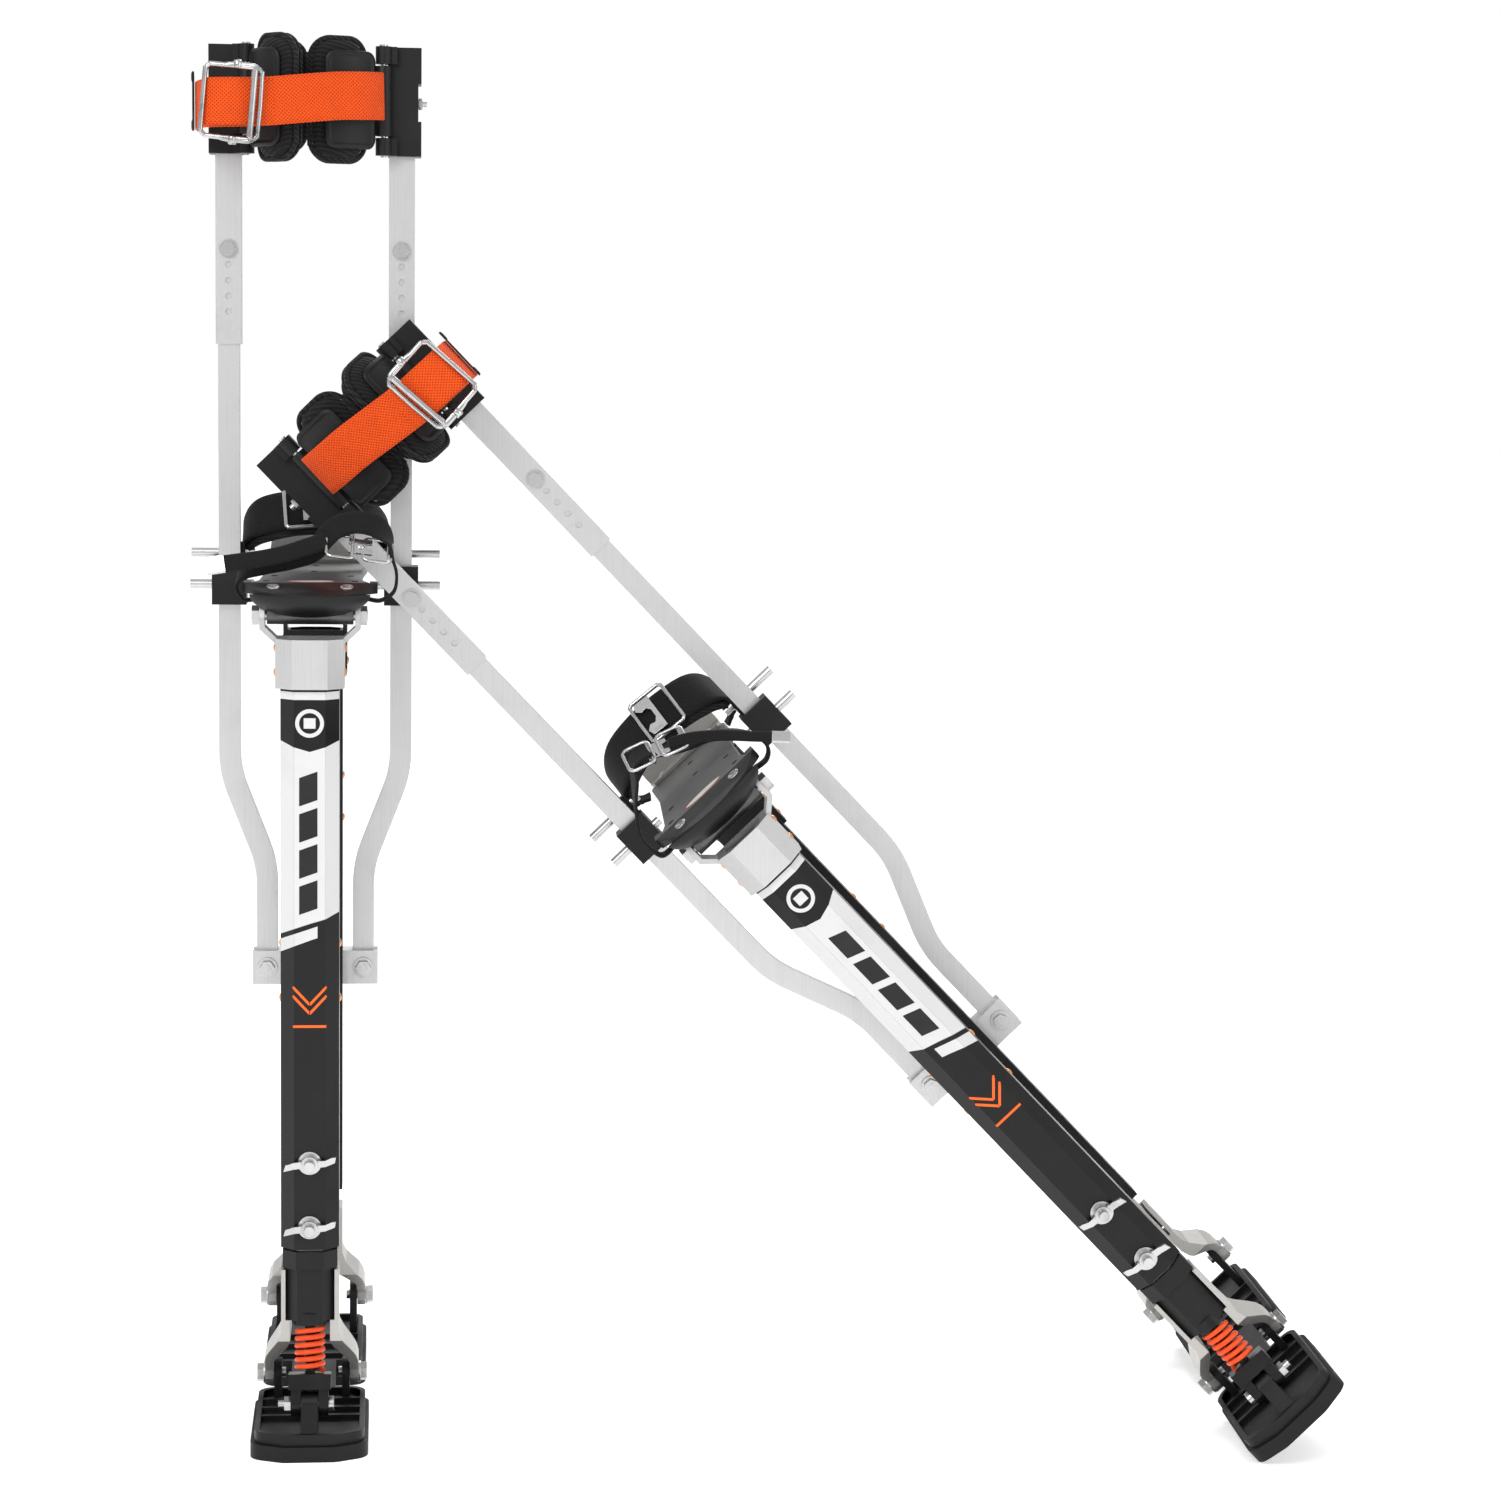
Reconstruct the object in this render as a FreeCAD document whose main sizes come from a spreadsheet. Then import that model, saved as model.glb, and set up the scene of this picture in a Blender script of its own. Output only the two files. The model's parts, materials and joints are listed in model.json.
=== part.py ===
"""A pair of drywall stilts: one stands upright, its mirror image leans against it.

Each stilt has two telescopic columns, front and rear. With the sole below and the foot plate above
they make a parallelogram, so the foot plate stays level while the legs swing. The calf struts rise
from the rear column. Millimetres, +Z up, toes towards -Y, the stilt's middle plane at x = 0.
The origin is the bottom centre of the pair's bounding box.
"""
import FreeCAD, Part
import math
import os
import Sketcher

doc = FreeCAD.newDocument("DrywallStilts")
sheet = doc.addObject("Spreadsheet::Sheet", "Dims")

DIMENSIONS = {
    # columns
    "front_y": -211, "rear_y": -5, "col_w": 45, "col_d": 40, "col_face": 24, "col_chamfer": 11,
    "col_wall": 2, "col_bottom": 159, "col_top": 630, "rear_top": 626,
    "inner_w": 34, "inner_d": 30, "inner_face": 18, "inner_chamfer": 8.5,
    "inner_bottom": 112, "inner_top": 560, "cap_skin": 1.8, "cap_bottom": 101, "cap_top": 157,
    "cap_lip_skin": 4.2, "cap_lip_z": 139,
    # height adjustment
    "hole_pitch": 50.8, "low_bolt_z": 177, "bolt_r": 4, "height_travel": 304.8, "bore_gap": 0.1,
    # sole
    "tread_h": 12, "front_tread_w": 91, "front_tread_toe": -266, "front_tread_heel": -126,
    "rear_tread_w": 84, "rear_tread_toe": -55, "rear_tread_heel": 100,
    "tray_inset": 3, "tray_h": 9, "tray_floor": 4, "tray_rim": 4, "toe_round": 12,
    "front_pivot_y": -138, "front_pivot_z": 36, "rear_pivot_y": 59, "rear_pivot_z": 48,
    "front_ear_x": 24, "rear_ear_x": 28, "ear_t": 6, "ear_r": 12, "arm_t": 6.7,
    # spring unit
    "clevis_y": -230, "clevis_z": 36, "clevis_bolt_r": 3.5, "rib_w": 13, "clevis_w": 29,
    "spring_tilt": 10.5,
    "seat_at": 20, "seat_t": 4, "seat_w": 33, "seat_d": 25, "spring_r": 10, "wire_r": 2, "spring_len": 37,
    "spring_turns": 6, "rod_r": 4, "rod_end": 95, "rod_bore_r": 6.5,
    # foot plate
    "plate_z": 668, "plate_t": 8, "lip_w": 103, "waist_w": 80, "heel_w": 84, "lip_y": -203,
    "plate_heel_y": 95, "bumper_nose": 37, "bumper_drop": 20, "top_pivot_z": 651, "top_pivot_y": -205,
    "rear_top_pivot_y": -8, "lug_x": 27, "lug_t": 6, "heel_h": 56, "heel_base_w": 79,
    "heel_top_w": 58, "heel_t": 4,
    # calf struts
    "strut_x": 70, "strut_low_x": 39.5, "strut_y": -5, "strut_w": 17.5, "strut_d": 12,
    "strut_wall": 1.5, "strut_foot_z": 337, "strut_bolt_z": 345, "bend_low_z": 430,
    "bend_high_z": 508, "bend_r": 90, "strut_top_z": 1000, "upper_w": 21, "upper_d": 15.4,
    "upper_wall": 1.3, "upper_low_z": 858, "upper_top_z": 1085, "calf_bolt_z": 935,
    "calf_pitch": 12.7, "calf_travel": 50.8, "calf_bolt_r": 3,
    "bracket_w": 23, "bracket_d": 24, "bracket_h": 28, "bracket_z": 331,
    "block_w": 28, "block_d": 28, "block_h": 32, "block_z": 646,
    "rod_low_z": 662, "rod_high_z": 687, "arch_rod_r": 4,
    # calf band
    "band_z": 1011, "band_h": 87, "housing_w": 27, "housing_d": 28, "hinge_x": 55, "hinge_y": -24,
    "hinge_r": 4, "cuff_r": 66, "cuff_cy": 15, "cuff_t": 3, "pad_t": 13, "pad_over": 13,
    "strap_w": 38, "strap_t": 2.2, "strap_z": 1035,
    # the leaning stilt
    "lean": -44.1, "lean_yaw": -2, "lean_x": 779, "lean_y": -60, "lean_z": 28.5,
    # centre of the pair's box
    "pair_x": 350, "pair_y": -100,
}
for row, (alias, value) in enumerate(DIMENSIONS.items(), start=1):
    sheet.set("A%d" % row, alias)
    sheet.set("B%d" % row, str(value))
    sheet.setAlias("B%d" % row, alias)
doc.recompute()

AXES = {
    "X": FreeCAD.Rotation(FreeCAD.Vector(0, 1, 0), 90),
    "Y": FreeCAD.Rotation(FreeCAD.Vector(1, 0, 0), -90),
    "Z": FreeCAD.Rotation(),
}
BOTH_SIDES = (-1, 1)
counter = {}


def dim(alias):
    """The sheet's value for an alias, as a number."""
    return float(sheet.get(alias))


def add(kind, name):
    """A new document object whose internal name is unique."""
    counter[name] = counter.get(name, 0) + 1
    return doc.addObject(kind, "%s_%d" % (name, counter[name]))


def bind(obj, **expressions):
    """Ties properties to sheet expressions."""
    for prop, expression in expressions.items():
        obj.setExpression(prop, str(expression))


def place(obj, x, y, z):
    """Ties an object's position to sheet expressions."""
    for letter, expression in zip("xyz", (x, y, z)):
        obj.setExpression("Placement.Base." + letter, str(expression))
    return obj


def block(name, size, middle, base):
    """A box of size (w, d, h), centred on middle (x, y), standing on height base."""
    obj = add("Part::Box", name)
    width, depth, height = size
    bind(obj, Length=width, Width=depth, Height=height)
    return place(obj, "%s - (%s) / 2" % (middle[0], width), "%s - (%s) / 2" % (middle[1], depth), base)


def rod(name, radius, length, axis, start):
    """A cylinder from start along +axis."""
    obj = add("Part::Cylinder", name)
    obj.Placement = FreeCAD.Placement(FreeCAD.Vector(), AXES[axis])
    bind(obj, Radius=radius, Height=length)
    return place(obj, *start)


def hex_head(name, across, thick, axis, start):
    """A hexagon head or nut from start along +axis; across is its corner radius."""
    obj = add("Part::Prism", name)
    obj.Polygon = 6
    obj.Placement = FreeCAD.Placement(FreeCAD.Vector(), AXES[axis])
    bind(obj, Circumradius=across, Height=thick)
    return place(obj, *start)


def fuse(name, *shapes):
    obj = add("Part::MultiFuse", name)
    obj.Shapes = list(shapes)
    return obj


def cut(name, base, *tools):
    obj = add("Part::Cut", name)
    obj.Base = base
    obj.Tool = tools[0] if len(tools) == 1 else fuse(name + "_tools", *tools)
    return obj


def common(name, *shapes):
    obj = add("Part::MultiCommon", name)
    obj.Shapes = list(shapes)
    return obj


def group(name, *shapes):
    """Separate solids in one sub-part."""
    obj = add("Part::Compound", name)
    obj.Links = list(shapes)
    return obj


def mirrored(name, source):
    """The same piece on the stilt's other side."""
    obj = add("Part::Mirroring", name)
    obj.Source = source
    obj.Base = FreeCAD.Vector(0, 0, 0)
    obj.Normal = FreeCAD.Vector(1, 0, 0)
    return obj


def prism(name, plane, outline, start, length, corner_radius=None):
    """A PartDesign body: outline (u, v pairs) on an origin plane, padded from start by length.

    Plane XY pads along +Z with u = x, v = y; XZ pads along -Y with u = x, v = z;
    YZ pads along +X with u = y, v = z. start is measured along the pad's direction.
    """
    body = add("PartDesign::Body", name)
    sketch = body.newObject("Sketcher::SketchObject", body.Name + "_outline")
    role = plane + "_Plane"
    base_plane = [f for f in body.Origin.OriginFeatures if f.Role == role][0]
    sketch.AttachmentSupport = (base_plane, [""])
    sketch.MapMode = "FlatFace"
    sketch.setExpression("AttachmentOffset.Base.z", str(start))
    corners = [FreeCAD.Vector(float(sheet.evalExpression(str(u))), float(sheet.evalExpression(str(v))), 0)
               for u, v in outline]
    count = len(corners)
    for i in range(count):
        sketch.addGeometry(Part.LineSegment(corners[i], corners[(i + 1) % count]), False)
    for i in range(count):
        sketch.addConstraint(Sketcher.Constraint("Coincident", i, 2, (i + 1) % count, 1))
    for i, (u, v) in enumerate(outline):
        for kind, expression, start_value in (("DistanceX", u, corners[i].x),
                                              ("DistanceY", v, corners[i].y)):
            index = sketch.addConstraint(Sketcher.Constraint(kind, -1, 1, i, 1, start_value))
            sketch.setExpression("Constraints[%d]" % index, str(expression))
    pad = body.newObject("PartDesign::Pad", body.Name + "_pad")
    pad.Profile = sketch
    pad.setExpression("Length", str(length))
    if corner_radius is not None:
        doc.recompute()
        sheet_direction = {"XY": FreeCAD.Vector(0, 0, 1), "XZ": FreeCAD.Vector(0, 1, 0),
                           "YZ": FreeCAD.Vector(1, 0, 0)}[plane]
        upright = ["Edge%d" % (i + 1) for i, edge in enumerate(pad.Shape.Edges)
                   if abs(edge.tangentAt(edge.FirstParameter).dot(sheet_direction)) > 0.999]
        fillet = body.newObject("PartDesign::Fillet", body.Name + "_corners")
        fillet.Base = (pad, upright)
        fillet.setExpression("Radius", str(corner_radius))
    return body


def column_outline(width, depth, face, chamfer, middle_y, facing):
    """A box section whose facing side (-1 front, 1 rear) has two chamfers beside a flat face."""
    half_w = "(%s) / 2" % width
    half_f = "(%s) / 2" % face
    flat = "%s + %d * (%s) / 2" % (middle_y, facing, depth)
    shoulder = "%s + %d * ((%s) / 2 - (%s))" % (middle_y, facing, depth, chamfer)
    back = "%s - %d * (%s) / 2" % (middle_y, facing, depth)
    return [("-" + half_f, flat), (half_f, flat), (half_w, shoulder), (half_w, back),
            ("-" + half_w, back), ("-" + half_w, shoulder)]


def grown(size, amount):
    return "%s + 2 * (%s)" % (size, amount)


def column_solid(name, grow, middle_y, facing, bottom, top, kind="col"):
    """A column's section grown by grow on each side, from bottom to top."""
    outline = column_outline(grown("Dims.%s_w" % kind, grow), grown("Dims.%s_d" % kind, grow),
                             grown("Dims.%s_face" % kind, "0.4 * (%s)" % grow),
                             "Dims.%s_chamfer + 0.5 * (%s)" % (kind, grow), middle_y, facing)
    return prism(name, "XY", outline, bottom, "%s - (%s)" % (top, bottom))


def slot(name, width, middle_x, middle_y, depth, bottom, top):
    """A cutting tool: an upright slot with round ends, through depth along Y."""
    straight = block(name + "_slot", (width, depth, "%s - (%s)" % (top, bottom)), (middle_x, middle_y),
                     bottom)
    ends = [rod(name + "_end", "(%s) / 2" % width, depth, "Y",
                (middle_x, "%s - (%s) / 2" % (middle_y, depth), height)) for height in (bottom, top)]
    return fuse(name, straight, *ends)


# ------------------------------------------------------------------ sole
def sole_outline(width, toe, heel, inset, round_toe):
    """The sole's outline seen from above, drawn in by inset; the toe end may bow forwards."""
    half = "(%s / 2 - (%s))" % (width, inset)
    front, back = "(%s + (%s))" % (toe, inset), "(%s - (%s))" % (heel, inset)
    if not round_toe:
        return [("-" + half, front), (half, front), (half, back), ("-" + half, back)]
    shoulder = front + " + Dims.toe_round"
    return [("-" + half, shoulder), ("-%s * 0.45" % half, front), ("%s * 0.45" % half, front),
            (half, shoulder),
            (half, back), ("-" + half, back)]


def sole_tray(name, width, toe, heel, round_toe):
    """A moulded tray with a raised rim."""
    rim_inset = "Dims.tray_inset + Dims.tray_rim"
    outer = prism(name + "_outer", "XY", sole_outline(width, toe, heel, "Dims.tray_inset", round_toe),
                  "Dims.tread_h", "Dims.tray_h", 13)
    inner = prism(name + "_inner", "XY", sole_outline(width, toe, heel, rim_inset, round_toe),
                  "Dims.tread_h + Dims.tray_floor", "Dims.tray_h", 10)
    return cut(name, outer, inner)


def pivot_ear(name, side, ear_x, middle_y, pivot_z):
    """A round-topped ear that stands in a tray."""
    x_start = ear_x if side > 0 else "-%s - Dims.ear_t" % ear_x
    floor = "Dims.tread_h + 2"
    post = block(name + "_post", ("Dims.ear_t", "2 * Dims.ear_r", "%s - (%s)" % (pivot_z, floor)),
                 ("%d * (%s + Dims.ear_t / 2)" % (side, ear_x), middle_y), floor)
    head = rod(name + "_head", "Dims.ear_r", "Dims.ear_t", "X", (x_start, middle_y, pivot_z))
    return fuse(name, post, head)


def make_sole():
    treads_of = (("front", "Dims.front_tread_w", "Dims.front_tread_toe", "Dims.front_tread_heel", True),
                 ("rear", "Dims.rear_tread_w", "Dims.rear_tread_toe", "Dims.rear_tread_heel", False))
    pivots = (("front", "Dims.front_ear_x", "Dims.front_pivot_y", "Dims.front_pivot_z"),
              ("rear", "Dims.rear_ear_x", "Dims.rear_pivot_y", "Dims.rear_pivot_z"))
    clevis = ("Dims.clevis_y", "Dims.clevis_z")
    body = [sole_tray(end + "_tray", width, toe, heel, round_toe) for end, width, toe, heel,
            round_toe in treads_of]
    body.append(block("bridge", (36, "Dims.rear_tread_toe - Dims.front_tread_heel + 14", "Dims.tray_h"),
                      (0, "(Dims.rear_tread_toe + Dims.front_tread_heel) / 2"), "Dims.tread_h"))
    for end, ear_x, pivot_y, pivot_z in pivots:
        body += [pivot_ear(end + "_ear", side, ear_x, pivot_y, pivot_z) for side in BOTH_SIDES]
    rib_side = [("Dims.front_tread_toe + 6", "Dims.tread_h + 2"),
                ("Dims.front_tread_toe + 6", "Dims.tread_h + 8"),
                ("Dims.clevis_y - 9", "Dims.clevis_z + 4"), ("Dims.clevis_y + 9", "Dims.clevis_z + 4"),
                ("Dims.clevis_y + 12", "Dims.tread_h + 2")]
    body += [prism("spring_rib", "YZ", rib_side, "-Dims.rib_w / 2", "Dims.rib_w"),
             rod("spring_rib_head", 10, "Dims.rib_w", "X", ("-Dims.rib_w / 2",) + clevis)]
    rib_places = {"front": (62, 84, 108), "rear": (30, 60, 90)}
    for end, width, toe, _, _ in treads_of:
        body += [block(end + "_rib", (width + " - 12", 4, 5), (0, "%s + %d" % (toe, offset)),
                       "Dims.tread_h + 3")
                 for offset in rib_places[end]]
    bores = [rod("sole_bore", "Dims.bolt_r + Dims.bore_gap", 120, "X", (-60, pivot_y, pivot_z))
             for _, _, pivot_y, pivot_z in pivots]
    bores.append(rod("sole_bore", "Dims.clevis_bolt_r + Dims.bore_gap", 60, "X", (-30,) + clevis))
    frame = cut("sole_frame", fuse("sole_body", *body), *bores)

    treads = []
    for end, width, toe, heel, round_toe in treads_of:
        pad = prism(end + "_tread", "XY", sole_outline(width, toe, heel, 0, round_toe), 0, "Dims.tread_h",
                    15)
        grooves = [block(end + "_groove", (120, 4, 3), (0, "%s + %d" % (toe, 28 + 22 * i)),
                         0) for i in range(5)]
        treads.append(cut(end + "_tread_grooved", pad, *grooves))

    bolts = []
    for end, ear_x, pivot_y, pivot_z in pivots:
        arm_face = "(%s + Dims.ear_t + 0.4 + Dims.arm_t)" % ear_x
        right = fuse(end + "_bolt", rod("pivot_pin", "Dims.bolt_r", "Dims.ear_t + Dims.arm_t + 7", "X",
                                        (ear_x + " - 3", pivot_y, pivot_z)),
                     rod("pivot_washer", 8.5, 1.4, "X", (arm_face + " + 0.2", pivot_y, pivot_z)),
                     hex_head("pivot_head", 7.5, 5, "X", (arm_face + " + 1.6", pivot_y, pivot_z)))
        bolts += [right, mirrored(end + "_bolt_left", right)]
    clevis_face = "(Dims.clevis_w / 2 + 0.2)"
    bolts.append(fuse("clevis_bolt", rod("clevis_pin", "Dims.clevis_bolt_r", "Dims.clevis_w + 14", "X",
                                         ("-Dims.clevis_w / 2 - 10",) + clevis),
                      rod("clevis_head", 6, 4, "X", (clevis_face,) + clevis),
                      hex_head("clevis_nut", 6.5, 5, "X", ("-%s - 5" % clevis_face,) + clevis)))
    return {"sole_frame": frame, "sole_treads": group("sole_treads", *treads),
            "sole_bolts": group("sole_bolts", *bolts)}


# ------------------------------------------------------------------ spring unit
def tilted(obj):
    """Turns a piece built about the vertical through the clevis onto the spring's slanting axis."""
    obj.Placement = FreeCAD.Placement(FreeCAD.Vector(), FreeCAD.Rotation(FreeCAD.Vector(1, 0, 0),
                                                                         -dim("spring_tilt")))
    return place(obj, 0, "Dims.clevis_y", "Dims.clevis_z")


def make_spring_unit():
    leg_t = "(Dims.clevis_w - Dims.rib_w) / 2 - 0.4"
    legs = []
    for side in BOTH_SIDES:
        leg_x = "%d * (Dims.clevis_w / 2 - (%s) / 2)" % (side, leg_t)
        legs += [rod("leg_foot", 9, leg_t, "X", ("%s - (%s) / 2" % (leg_x, leg_t), 0, 0)),
                 block("leg", (leg_t, 18, "Dims.seat_at - 6"), (leg_x, 0), 0)]
    seat = block("seat", ("Dims.seat_w", "Dims.seat_d", "Dims.seat_t + 8"), (0, 0), "Dims.seat_at - 8")
    stem = rod("stem", "Dims.rod_r", "Dims.rod_end - Dims.seat_at", "Z", (0, 0, "Dims.seat_at"))
    bore = rod("leg_bore", "Dims.clevis_bolt_r + Dims.bore_gap / 2", 40, "X", (-20, 0, 0))
    link = tilted(cut("spring_clevis", fuse("clevis_body", *(legs + [seat, stem])), bore))

    helix = add("Part::Helix", "spring_path")
    bind(helix, Radius="Dims.spring_r", Height="Dims.spring_len - 2 * Dims.wire_r",
         Pitch="(Dims.spring_len - 2 * Dims.wire_r) / Dims.spring_turns")
    helix.Style = 1
    section = add("Part::Circle", "spring_section")
    section.Placement = FreeCAD.Placement(FreeCAD.Vector(), AXES["Y"])
    bind(section, Radius="Dims.wire_r")
    place(section, "Dims.spring_r", 0, 0)
    coil = add("Part::Sweep", "spring_coil")
    doc.recompute()
    coil.Sections = [section]
    coil.Spine = (helix, ["Edge%d" % (i + 1) for i in range(len(helix.Shape.Edges))])
    coil.Solid = True
    coil.Frenet = True
    place(coil, 0, 0, "Dims.seat_at + Dims.seat_t + Dims.wire_r + 0.1")
    spring = tilted(group("spring", coil))
    return {"spring_clevis": link, "spring": spring}


# ------------------------------------------------------------------ shanks
def fork_arm(name, middle_y, ear_x, pivot_y, pivot_z, low_z):
    """One arm: it runs down beside the inner tube, flares outwards below it and ends at the pivot."""
    inside, foot = "(%s + Dims.ear_t + 0.4)" % ear_x, "%s - 8.5" % pivot_z
    outside = "(%s + Dims.arm_t)" % inside
    knee = "(%s + Dims.ear_r + 2)" % pivot_z
    front_view = [(19, 141), (22.4, 141), (22.4, knee + " + 41"), (25.5, knee + " + 33"),
                  (outside + " - 5", knee + " + 20"), (outside + " - 1.5", knee + " + 12"),
                  (outside, knee + " + 4"),
                  (outside, foot), (inside, foot), (inside, knee), (inside + " - 2", knee + " + 7"),
                  (18, knee + " + 25"), (15.5, knee + " + 33"), (15.5, low_z + " - 0.2"),
                  (19, low_z + " - 0.2")]
    side_view = [("%s - 11" % middle_y, 157), ("%s + 15" % middle_y, 157), ("%s + 15" % middle_y, 112),
                 ("%s + 9" % pivot_y, "%s + 8" % pivot_z), ("%s + 8.5" % pivot_y, "%s - 3.5" % pivot_z),
                 ("%s + 3.5" % pivot_y, foot), ("%s - 3.5" % pivot_y, foot),
                 ("%s - 8.5" % pivot_y, "%s - 3.5" % pivot_z), ("%s - 10" % pivot_y, "%s + 4" % pivot_z),
                 ("%s - 11" % middle_y, 84)]
    seen_front = prism(name + "_front", "XZ", front_view, "-(%s + 20)" % pivot_y, 130)
    seen_side = prism(name + "_side", "YZ", side_view, 14, 30)
    return common(name, seen_front, seen_side)


def make_shank(prefix, middle_y, facing, ear_x, pivot_y, pivot_z, low_z):
    """The sliding inner tube and the cast yoke that carries it on the sole."""
    tube = cut(prefix + "_tube",
               column_solid(prefix + "_tube_out", 0, middle_y, facing, "Dims.inner_bottom",
                            "Dims.inner_top", "inner"),
               column_solid(prefix + "_tube_in", "-Dims.col_wall", middle_y, facing,
                            "Dims.inner_bottom - 1", "Dims.inner_top + 1", "inner"),
               slot(prefix + "_bolt_slot", "2 * Dims.bolt_r + 1", 0, middle_y, 60, "Dims.low_bolt_z - 1",
                    "Dims.low_bolt_z + Dims.hole_pitch + Dims.height_travel + 1"))
    right = fork_arm(prefix + "_arm", middle_y, ear_x, pivot_y, pivot_z, low_z)
    back = block(prefix + "_yoke_back", (44.8, 3.6, 28), (0, "%s + 17.4" % middle_y), 113)
    yoke = cut(prefix + "_yoke", fuse(prefix + "_yoke_body", right, mirrored(prefix + "_arm_left", right),
                                      back),
               column_solid(prefix + "_cap_room", "Dims.cap_skin + 0.1", middle_y, facing,
                            "%s - 0.1" % low_z, 160, "inner"),
               rod(prefix + "_arm_bore", "Dims.bolt_r + Dims.bore_gap / 2", 120, "X",
                   (-60, pivot_y, pivot_z)))
    return tube, yoke


def make_shanks():
    front_tube, front_yoke = make_shank("front_shank", "Dims.front_y", -1, "Dims.front_ear_x",
                                        "Dims.front_pivot_y", "Dims.front_pivot_z", "Dims.cap_bottom")
    rear_tube, rear_yoke = make_shank("rear_shank", "Dims.rear_y", 1, "Dims.rear_ear_x",
                                      "Dims.rear_pivot_y", "Dims.rear_pivot_z", "Dims.inner_bottom")
    shell = cut("cap_shell",
                column_solid("cap_out", "Dims.cap_skin", "Dims.front_y", -1, "Dims.cap_bottom",
                             "Dims.cap_top", "inner"),
                column_solid("cap_in", 0.05, "Dims.front_y", -1, "Dims.inner_bottom", "Dims.cap_top + 1",
                             "inner"))
    lip = cut("cap_lip", column_solid("cap_lip_out", "Dims.cap_lip_skin", "Dims.front_y", -1,
                                      "Dims.cap_lip_z + 3.5",
                                      "Dims.cap_top", "inner"),
              column_solid("cap_lip_in", 0.05, "Dims.front_y", -1, "Dims.cap_lip_z", "Dims.cap_top + 1",
                           "inner"))
    seat_height = "Dims.seat_at + Dims.seat_t + Dims.spring_len + 0.3"
    seat = tilted(group("cap_seat_tilted", rod("cap_seat", 12.5, 9, "Z", (0, 0, seat_height))))
    bore = tilted(group("cap_bore", rod("cap_bore_rod", "Dims.rod_bore_r", 60, "Z",
                                        (0, 0, "Dims.seat_at + 30"))))
    cap = cut("end_cap", fuse("cap_body", shell, lip, seat), bore,
              column_solid("cap_room", 0.05, "Dims.front_y", -1, "Dims.inner_bottom", "Dims.cap_top + 1",
                           "inner"))
    return {"front_shank": group("front_shank", front_tube, front_yoke), "end_cap": cap,
            "rear_shank": group("rear_shank", rear_tube, rear_yoke)}


# ------------------------------------------------------------------ columns
def column_tube(name, middle_y, facing, top):
    bolt_holes = [rod(name + "_hole", "Dims.bolt_r + Dims.bore_gap / 2", 80, "Y",
                      (0, "%s - 40" % middle_y,
                       "Dims.low_bolt_z + %d * Dims.hole_pitch" % i)) for i in (0, 1)]
    return cut(name, column_solid(name + "_out", 0, middle_y, facing, "Dims.col_bottom", top),
               column_solid(name + "_in", "-Dims.col_wall", middle_y, facing,
                            "Dims.col_bottom - 1", "%s + 1" % top), *bolt_holes)


def wing_bolt(name, height):
    """A cross bolt with a wing nut in front and a hexagon head behind."""
    face_y = "Dims.front_y - Dims.col_d / 2"
    shank = rod(name + "_pin", "Dims.bolt_r", 63, "Y", (0, "%s - 16" % face_y, height))
    washer = rod(name + "_washer", 9, 1.5, "Y", (0, "%s - 1.6" % face_y, height))
    hub = rod(name + "_hub", 6.5, 8, "Y", (0, "%s - 9.6" % face_y, height))
    wing_right = [(5, -2.4), (12, -1.8), (19.5, 1.2), (20.3, 5.6), (17.5, 5.4), (12, 3), (5, 2.8)]
    wing_left = [(-5, 2.4), (-12, 1.6), (-18.5, -0.6), (-20, -5.4), (-12, -3.6), (-5, -2.8)]
    wings = [prism(name + "_wing", "XZ", [(x, "%s + (%s)" % (height, rise)) for x, rise in outline],
                   "-(%s - 3.5)" % face_y, 3.5) for outline in (wing_right, wing_left)]
    head = hex_head(name + "_head", 7.5, 5, "Y", (0, "Dims.front_y + Dims.col_d / 2 + 0.1", height))
    return fuse(name, shank, washer, hub, head, *wings)


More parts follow.
